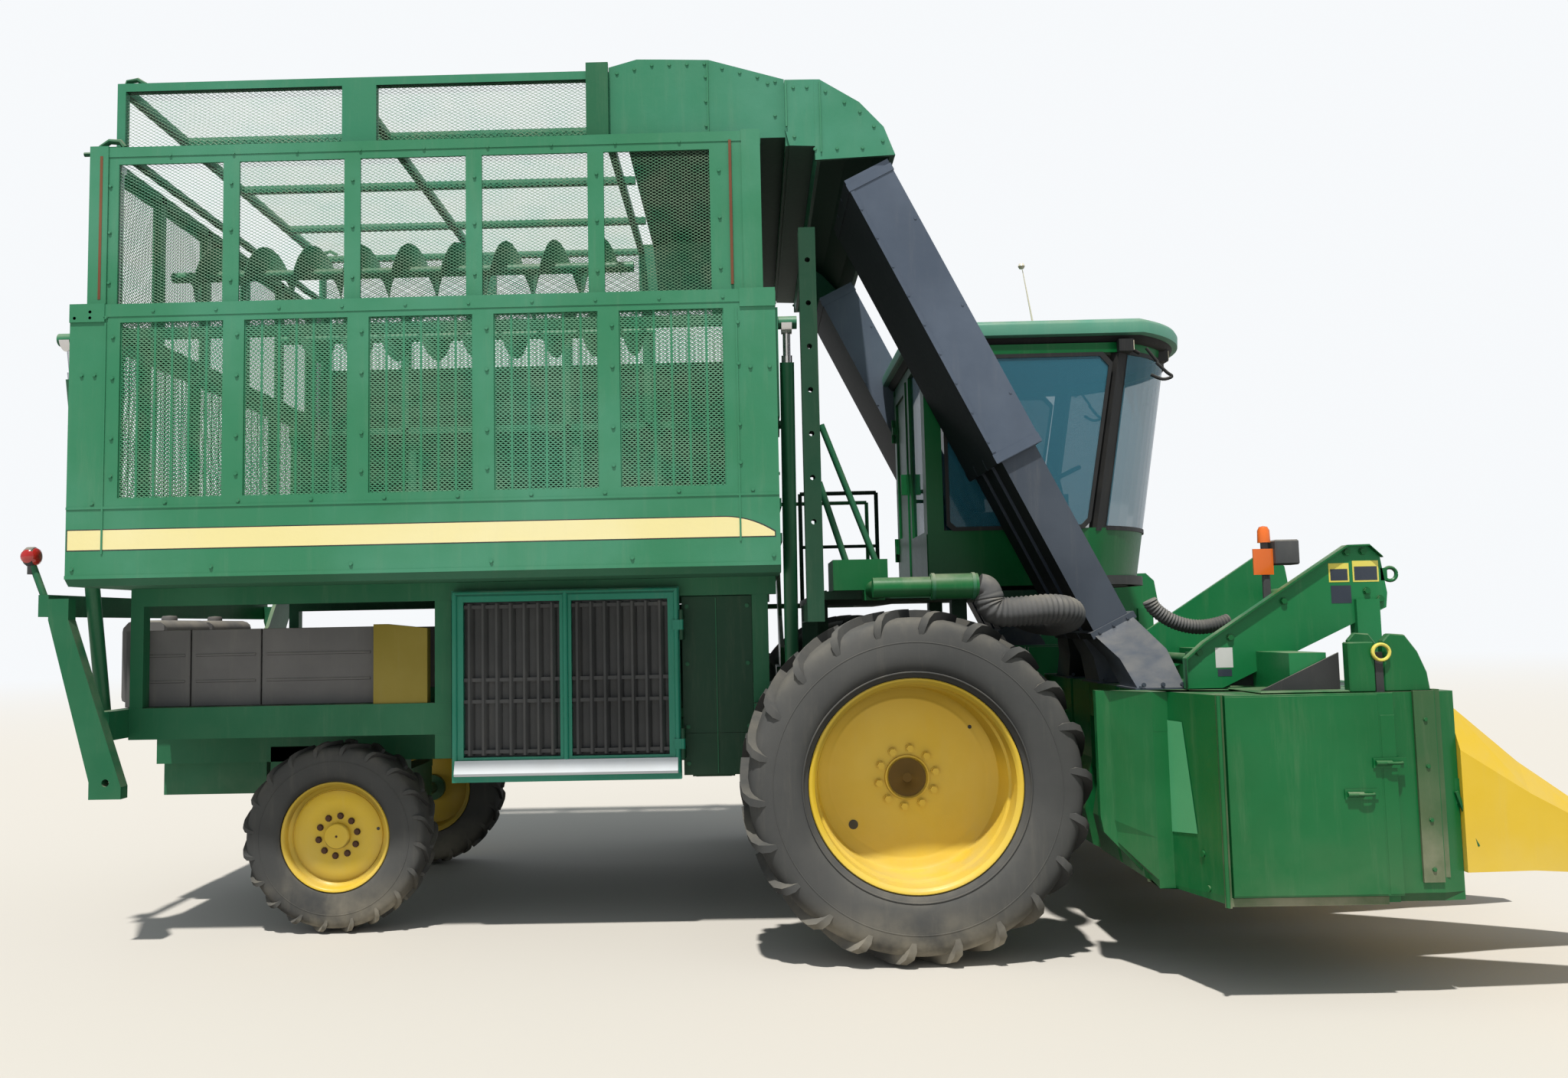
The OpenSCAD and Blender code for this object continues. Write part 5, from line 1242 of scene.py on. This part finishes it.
for side, hand in HANDS:
    shell = Shape(side)
    rings = []
    for z, rear in ((0.470, 1.170), (0.510, 1.140), (0.720, 0.945), (0.800, 0.930), (1.450, 0.930)):
        bulge = 0.0 if z > 0.5 else 0.015
        rings.append([(1.156, 2.4975, z), (rear + 0.02, 2.235, z), (rear, 2.255, z),
                      (rear, 2.300, z), (1.175, 2.300, z), (1.345, 2.868 - bulge, z),
                      (2.370, 2.868 - bulge, z), (2.478, 2.840, z), (2.478, 2.4975, z)])
    shell.loft(rings)
    shell.box((1.36, 2.16), (2.860, 2.869), (0.47, 1.449))
    shell.piece(f"header_side_{hand}", DEEP_GREEN, "header")
    edge = Shape(side)
    edge.loft([[(1.340, 2.862, z), (1.352, 2.884, z), (1.366, 2.884, z), (1.366, 2.862, z)]
               for z in (0.455, 1.452)])
    edge.box((1.345, 2.10), (2.866, 2.880), (0.462, 0.500))
    edge.box((2.268, 2.366), (2.866, 2.882), (0.560, 1.455))
    edge.box((2.366, 2.400), (2.820, 2.866), (0.58, 1.46))
    edge.loft([[(1.160, 2.290, z), (1.175, 2.312, z), (1.190, 2.312, z), (1.185, 2.290, z)]
               for z in (0.462, 1.440)])
    edge.piece(f"header_edges_{hand}", DULL_GREEN, "header")
    # painted light: a thin sheet of paler green lies where the sun falls on the slanting panel
    panel = Shape(side)
    panel.add([slant(y, z, 0.004) for y, z in
               ((2.325, 1.310), (2.610, 1.305), (2.690, 0.770), (2.390, 0.740))], [(0, 1, 2, 3)])
    panel.piece(f"header_painted_sunlight_{hand}", PAINTED_SUNLIGHT_GREEN, "header")
    fittings = Shape(side)
    for y, z in ((2.72, 0.68), (2.75, 0.52)):
        fittings.rod(slant(y, z), slant(y, z, 0.008), 0.016, 12)
    fittings.box((1.155, 1.200), (2.300, 2.330), (0.56, 0.66))
    fittings.pipe([(1.165, 2.335, 0.64), (1.195, 2.345, 0.60), (1.235, 2.345, 0.575)], 0.009, 8)
    for x, z in ((2.12, 1.122), (1.98, 0.978)):
        fittings.box((x - 0.070, x + 0.085), (2.904, 2.908), (z - 0.024, z + 0.024))
        fittings.rod((x - 0.062, 2.916, z), (x + 0.012, 2.916, z - 0.001), 0.013, 10)
        fittings.pipe(curve([(x - 0.02, 2.908, z), (x - 0.005, 2.928, z), (x + 0.05, 2.928, z),
                             (x + 0.065, 2.908, z)], 4), 0.007, 8)
    fittings.box((2.400, 2.520), (2.700, 2.845), (0.915, 1.035))
    fittings.rod((2.46, 2.850, 0.975), (2.54, 2.858, 0.72), 0.010, 8)
    fittings.box((2.430, 2.760), (2.700, 2.720), (0.590, 0.680))
    for z in (0.62, 0.85, 1.10, 1.32):
        fittings.bolt((2.318, 2.882, z), (0, 1, 0), 0.009, 0.008)
    fittings.piece(f"header_fittings_{hand}", DEEP_GREEN, "header", smooth=35)
    door = Shape(side)
    door.box((1.372, 2.165), (2.875, 2.898), (0.505, 1.449))
    door.box((1.372, 2.090), (2.897, 2.9005), (0.512, 1.442))
    door.box((2.098, 2.165), (2.897, 2.900), (0.512, 1.345))
    door.rod((1.345, 2.888, 0.460), (1.345, 2.888, 1.449), 0.010, 12)
    door.piece(f"header_door_{hand}_skin", DEEP_GREEN, "header_door_" + hand,
               replaced=["header_door_" + hand], bevel=0.003)

# Covers and brackets of folded plate stand on the outer cabinets, with black plastic parts and
# a coil of yellow tube. Dark triangles of painted shade fill the gap under each lifting arm.

TOP_OUTLINE = [(2.155, 1.451), (2.155, 1.690), (2.190, 1.728), (2.262, 1.722), (2.320, 1.640),
               (2.360, 1.540), (2.372, 1.451)]

for side, hand in HANDS:
    top = Shape(side)
    top.box((1.985, 2.108), (2.800, 2.862), (HEADER_TOP, 1.690))
    top.box((1.56, 1.985), (2.45, 2.86), (HEADER_TOP, 1.462))
    top.prism(TOP_OUTLINE, "y", 2.800, 2.850)
    top.prism([(x + 0.03, z) for x, z in TOP_OUTLINE], "y", 2.420, 2.450)
    top.piece(f"header_top_{hand}", DEEP_GREEN, "header", bevel=0.006)
    dark = Shape(side)
    # painted shade: two dark triangles fill the gap between the cabinet top and the arm's lower
    # edge
    for y in (2.752, 2.300):
        dark.prism([(1.60, 1.4625), (1.985, 1.4625), (1.985, 1.640), (1.640, 1.480)], "y", y,
                   y + 0.012)
    dark.box((2.112, 2.150), (2.800, 2.855), (1.340, 1.640))
    dark.box((2.20, 2.33), (2.60, 2.74), (HEADER_TOP, 1.600))
    dark.piece(f"header_dark_parts_and_shade_{hand}", BLACK, "header", "dark_plastic", bevel=0.008)
    coil = Shape(side)
    coil.pipe([(2.135 + 0.040 * math.cos(a), 2.868 + 0.004 * a / 6, 1.640 + 0.038 * math.sin(a))
               for a in [i * math.pi / 10 for i in range(34)]], 0.008, 8)
    coil.piece(f"tube_coil_{hand}", LABEL_YELLOW, "header", "yellow_paint", smooth=40)

# The lifting arms are cut from thick plate with a folded upper edge, bolted to cross tubes. Bare
# plates are riveted to their outer faces, and a lifting ring stands at the front.

ARM_OUTLINE = [(1.380, 1.455), (1.570, 1.455), (2.435, 1.856), (2.444, 1.931), (2.416, 2.123),
               (2.352, 2.185), (2.237, 2.183), (1.478, 1.696), (1.380, 1.612)]
ARM_BOLTS = [(1.455, 1.640), (1.620, 1.715), (1.906, 1.898), (2.243, 2.145), (2.327, 2.149),
             (2.337, 1.943), (2.405, 1.900)]
ARM_FACE = 2.366
PLATE_BACK = 2.3652
PLATE_FACE = 2.3662
YELLOW_PLATES = [(2.147, 2.252, 1.991, 2.089), (2.271, 2.405, 1.990, 2.100)]
LABEL_DARK = painted("label_dark", (0.030, 0.040, 0.060), (0.060, 0.070, 0.090), 0.1, 0.0, 0.5, 0.0)
LABEL_WHITE = painted("label_white", (0.62, 0.62, 0.60), (0.70, 0.70, 0.68), 0.1, 0.0, 0.5, 0.0)

for side, hand in HANDS:
    arm = Shape(side)
    for a, b in zip(ARM_OUTLINE[4:], ARM_OUTLINE[5:] + ARM_OUTLINE[:1]):
        arm.loft([[(x, ARM_FACE - 0.001, z), (x, ARM_FACE + 0.030, z),
                   (x + 0.004, ARM_FACE + 0.030, z - 0.008),
                   (x + 0.004, ARM_FACE - 0.001, z - 0.008)] for x, z in (a, b)])
    for x, z in ARM_BOLTS:
        arm.bolt((x, ARM_FACE, z), (0, 1, 0), 0.016, 0.014)
    arm.pipe([(2.470 + 0.034 * math.cos(a), 2.350, 2.028 + 0.034 * math.sin(a))
              for a in [i * math.pi / 10 for i in range(21)]], 0.010, 8)
    arm.box((2.415, 2.450), (2.335, 2.365), (1.995, 2.060))
    arm.box((1.44, 1.62), (2.205, 2.335), (1.455, 1.640))
    for x, z, radius in ((2.330, 1.95, 0.036), (1.480, 1.60, 0.030)):
        arm.rod((x, 1.24, z), (x, 2.34, z), radius, 16)
    arm.piece(f"header_arm_parts_{hand}", DEEP_GREEN, "header", smooth=35)
    for color, finish, places in (("yellow", LABEL_YELLOW, YELLOW_PLATES),
                                  ("dark", LABEL_DARK, [(2.154, 2.258, 1.881, 1.973)]),
                                  ("white", LABEL_WHITE, [(1.540, 1.629, 1.560, 1.663)])):
        plate = Shape(side)
        for x0, x1, z0, z1 in places:
            plate.box((x0, x1), (PLATE_BACK, PLATE_FACE), (z0, z1))
        if color == "dark":
            # a dark field on each yellow plate, and a small plate under the white one
            for x0, x1, z0, z1 in YELLOW_PLATES:
                plate.box((x0 + 0.008, x1 - 0.008), (PLATE_FACE, PLATE_FACE + 0.0005),
                          (z0 + 0.008, z1 - 0.030))
            plate.box((1.548, 1.621), (PLATE_BACK, PLATE_FACE), (1.515, 1.552))
        plate.piece(f"arm_plates_{color}_{hand}", finish, "header", "cast_block")

# A black box on a flat post stands on each arm, with an amber lamp and an amber reflector. The
# brackets of the outer dividers are bolted in front of the cabinets.

AMBER = Finish("amber_lens")
AMBER.set(Base_Color=(0.85, 0.17, 0.02), Roughness=0.2, Coat_Weight=0.6)

for side, hand in HANDS:
    lamp = Shape(side)
    lamp.box((1.950, 1.990), (2.000, 2.030), (1.640, 2.230))
    lamp.box((2.005, 2.135), (1.960, 2.075), (2.100, 2.237))
    lamp.piece(f"header_lamp_box_{hand}", SMOOTH_RUBBER, "header", "dark_plastic", bevel=0.008)
    glow = Shape(side)
    glow.box((1.895, 2.004), (2.032, 2.040), (2.048, 2.190))
    glow.spin([(0.0, 2.318), (0.022, 2.312), (0.032, 2.292), (0.034, 2.225), (0.0, 2.225)],
              (1.968, 2.015, 0), "z", 20)
    glow.piece(f"header_amber_{hand}", AMBER.material, "header", "cast_block", smooth=40)

    nose = Shape(side)
    nose.box((2.484, 2.560), (2.560, 2.600), (0.70, 1.10))
    nose.piece(f"divider_bracket_{hand}", DEEP_GREEN, "header")

# Each side carries sheet panels with their fasteners and moulded plastic tanks. The right side
# has the louvred air intake door in its moulded teal frame, over a bright metal strip.

OLD_YELLOW = painted("old_yellow", (0.230, 0.175, 0.018), (0.300, 0.235, 0.045), 0.3, 0.0, 0.6,
                     0.0)
wear(OLD_YELLOW, "service_panel")
TEAL = painted("teal_frame", (0.003, 0.200, 0.120), (0.018, 0.250, 0.165), 0.4, 0.2, 0.35)
wear(TEAL, "intake_frame")
# The strip's pale grey is plain paint lightened to stand for the bright metal's reflection, so it
# looks lit where it lies in shade: painted sheen and painted light.
SILVER_AND_SHEEN = painted("silver_strip_and_painted_sheen", (0.62, 0.66, 0.70), (0.72, 0.76, 0.80), 0.3, 0.0, 0.45, 0.3)
LOUVRE = painted("louvre_plastic", (0.042, 0.044, 0.046), (0.085, 0.087, 0.090), 0.5, 0.2, 0.5, 0.0)

INTAKE_X = (-2.680, -1.300)
INTAKE_Z = (0.900, 2.070)
INTAKE_Y = (-1.400, -1.342)
BAYS = [(-2.610, -2.025), (-1.955, -1.370)]
BAY_Z = (1.068, 2.000)

frame_shape = Shape()
for x in ((INTAKE_X[0], BAYS[0][0]), (BAYS[0][1], BAYS[1][0]), (BAYS[1][1], INTAKE_X[1])):
    frame_shape.box(x, INTAKE_Y, (INTAKE_Z[0] + 0.02, INTAKE_Z[1]))
for z in ((INTAKE_Z[0] + 0.02, BAY_Z[0]), (BAY_Z[1], INTAKE_Z[1])):
    frame_shape.box((INTAKE_X[0] + 0.002, INTAKE_X[1] - 0.002), (-1.399, -1.343), z)
for x in (INTAKE_X[0] + 0.018, BAYS[0][1] + 0.035, INTAKE_X[1] - 0.018):
    frame_shape.rod((x, -1.398, INTAKE_Z[0] + 0.06), (x, -1.398, INTAKE_Z[1] - 0.01), 0.017, 12)
for z in (BAY_Z[0] - 0.035, INTAKE_Z[1] - 0.018):
    frame_shape.rod((INTAKE_X[0] + 0.01, -1.398, z), (INTAKE_X[1] - 0.01, -1.398, z), 0.017, 12)
for z in (1.100, 1.810):
    frame_shape.rod((-1.286, -1.414, z), (-1.286, -1.414, z + 0.06), 0.012, 12)
    frame_shape.box((-1.340, -1.286), (-1.418, -1.400), (z, z + 0.06))
frame_shape.piece("intake_frame_moulding", TEAL, "intake_door", "teal_paint", ["intake_frame"],
                  smooth=40)
strip = Shape()
strip.loft([[(x, -1.401, 1.050), (x, -1.414, 1.050), (x, -1.440, 0.975), (x, -1.436, 0.960),
             (x, -1.401, 0.955)] for x in (INTAKE_X[0] + 0.02, INTAKE_X[1] - 0.02)])
strip.piece("intake_sill", SILVER_AND_SHEEN, "intake_door", "rod_chrome")
blades = Shape()
for bay in BAYS:
    width = bay[1] - bay[0]
    blades.box((bay[0] + 0.0005, bay[1] - 0.0005), (-1.3540, -1.3450),
               (BAY_Z[0] + 0.0005, BAY_Z[1] - 0.0005))
    for i in range(7):
        x = bay[0] + width * (i + 0.5) / 7
        section = (curve([(x - 0.016, -1.392), (x - 0.002, -1.378), (x + 0.012, -1.356)], 3)
                   + curve([(x + 0.020, -1.356), (x + 0.010, -1.380), (x - 0.002, -1.397)], 3))
        blades.loft([[(*point, z) for point in section]
                     for z in (BAY_Z[0] + 0.01, BAY_Z[1] - 0.01)])
    for z in (1.10, 1.40, 1.53, 1.97):
        blades.box((bay[0] + 0.001, bay[1] - 0.001), (-1.384, -1.372), (z - 0.011, z + 0.011))
blades.piece("intake_blades", LOUVRE, "intake_door", "dark_plastic", ["intake_louvres"], smooth=40)

# The tanks are moulded dark plastic, three along each side and two across the tail, each with
# two pressed beads or a screw cap.

TAIL_X = BASKET_X[0]
TANK = painted("moulded_tank", (0.120, 0.118, 0.120), (0.185, 0.180, 0.180), 0.45, 0.0, 0.75, 0.0)

tanks = Shape()
for side in (-1, 1):
    for x0, x1 in ((TAIL_X + 0.022, -4.345), (-4.335, -3.905), (-3.895, -3.192)):
        tanks.box((x0, x1), on_side(side, 0.722, 1.244), (1.397, 1.868))
        for z in (1.55, 1.71):
            tanks.box((x0 + 0.03, x1 - 0.03), on_side(side, 1.243, 1.249),
                      (z - 0.008, z + 0.008))
tanks.piece("side_tank_mouldings", TANK, "chassis", "moulded_tank", ["side_tanks"], bevel=0.012)
rear_tanks = Shape()
for side in (-1, 1):
    rear_tanks.prism([(TAIL_X - 0.290, 1.420), (TAIL_X - 0.250, 1.3905),
                      (TAIL_X + 0.010, 1.3905), (TAIL_X + 0.010, 1.900),
                      (TAIL_X - 0.040, 1.940), (TAIL_X - 0.230, 1.940),
                      (TAIL_X - 0.290, 1.880)], "y", *on_side(side, 0.03, 0.70))
    rear_tanks.spin([(0.0, 1.975), (0.045, 1.972), (0.052, 1.960), (0.052, 1.938), (0.0, 1.938)],
                    (TAIL_X - 0.13, side * 0.36, 0), "z", 24)
rear_tanks.piece("rear_tank_mouldings", TANK, "chassis", "moulded_tank", ["rear_tanks"],
                 bevel=0.015, smooth=40)

# Rows of bolts hold the side panels to the frame, with a narrow strip over their joint, and a
# stiffening plate hangs inside.

panel_parts = Shape()
for side in (-1, 1):
    y = side * 1.300
    for x, z in ((-1.26, 1.22), (-1.26, 1.60), (-1.26, 1.95), (-0.89, 1.22), (-0.89, 1.60),
                 (-0.89, 1.95), (-1.26, 1.00), (-0.89, 1.00)):
        panel_parts.bolt((x, y, z), (0, side, 0), 0.011, 0.009)
    panel_parts.box((-1.085, -1.079), sorted((y, y + side * 0.006)), (0.94, 2.00))
    for i in range(9):
        panel_parts.bolt((-4.60 + i * 0.235, side * 1.2955, 1.36), (0, side, 0), 0.010, 0.009)
    panel_parts.box((-4.10, -3.55), on_side(side, 0.56, 0.575), (0.80, 1.08))
panel_parts.piece("side_panel_parts", GRIMY_GREEN, "chassis", smooth=35)

# Round tail lamps in rubber rings stand on the posts, with a red lens on every face, and a flat
# red reflector is screwed to the lamp bar.

BEACON_Z = 2.320
RED = Finish("red_lens")
RED.set(Base_Color=(0.42, 0.012, 0.010), Roughness=0.15, Coat_Weight=0.8)

tail = Shape()
red = Shape()
for side in (-1, 1):
    y = side * 1.600
    tail.spin([(0.030, -5.165), (0.054, -5.165), (0.058, -5.160), (0.058, -5.122), (0.054, -5.116),
               (0.030, -5.112)], (0, y, BEACON_Z), "x", 24)
    tail.rod((-5.140, y, 2.215), (-5.140, y, 2.265), 0.022, 12)
    for x in (-5.166, -5.112):
        far = x - 0.004 if x < -5.14 else x + 0.022
        red.spin([(0.052, x), (0.046, (x + far) / 2), (0.026, far), (0.0, far)],
                 (0, y, BEACON_Z), "x", 24)
    red.spin([(0.0, side * 0.062), (0.026, side * 0.058), (0.040, side * 0.046)],
             (-5.141, y, BEACON_Z), "y", 20)
    red.box((-5.078, -5.070), on_side(side, 1.10, 1.24), (1.985, 2.060))
tail.piece("tail_lamp_rings", SMOOTH_RUBBER, "chassis", "dark_plastic", smooth=40)
red.piece("tail_lamp_lenses", RED.material, "chassis", "cast_block", smooth=40)

# Two drive lines run back under the frame to a cross tube. They are plain round steel, black
# with oil and dust.

ground_parts = Shape()
for y in (-0.36, 0.36):
    ground_parts.rod((-2.55, y, 0.97), (-0.30, y, 0.93), 0.030, 12)
ground_parts.rod((-3.20, -0.30, 1.02), (-3.20, 0.30, 1.02), 0.060, 16)
ground_parts.piece("under_chassis_lines", BLACK, "chassis", "dark_plastic", smooth=40)

# The deck is steel plate on four legs. Its only rail, of bent tube, is on the left, where the
# ladder and the walkway are.

DECK_X = (-0.450, 0.240)
RAIL_X = (-0.430, 0.210)
RAIL_Y = 1.470
RAIL_TOP = 2.920

deck = Shape()
deck.box(DECK_X, (-1.500, 1.500), DECK_Z)
deck.box((DECK_X[1], 1.510), (-0.810, 0.810), DECK_Z)
for y in (0.520, -0.520):
    for x in (0.480, DECK_X[0]):
        deck.box((x, x + 0.100), (y - 0.05, y + 0.05), (1.2205, DECK_Z[0]))
for x in RAIL_X:
    deck.rod((x, RAIL_Y, DECK_Z[1]), (x, RAIL_Y, RAIL_TOP), 0.017, 12)
for z, radius in ((RAIL_TOP, 0.017), (2.470, 0.014)):
    deck.rod((RAIL_X[0], RAIL_Y, z), (RAIL_X[1], RAIL_Y, z), radius, 12)
# the deck plates take the darker green, which is painted shade
deck.piece("deck_plates", PAINTED_SHADE_GREEN, "chassis", replaced=["deck"], smooth=40)

treads = Shape()
for i in range(9):
    x = -0.42 + i * 0.073
    for y in ((-1.47, -0.85), (1.05, 2.30)):
        treads.box((x, x + 0.010), y, (DECK_Z[1] + 0.0003, DECK_Z[1] + 0.006))
treads.piece("deck_treads", GRIMY_GREEN, "chassis")

# The dump cylinders' barrels are smooth tube, which keeps its paint: a fresher green than the
# frame's, with little dust.

CYLINDER_GREEN = painted("cylinder_green", (0.010, 0.110, 0.045), (0.022, 0.140, 0.065), 0.3, 0.0,
                         0.4)
wear(CYLINDER_GREEN, "dump_barrels")
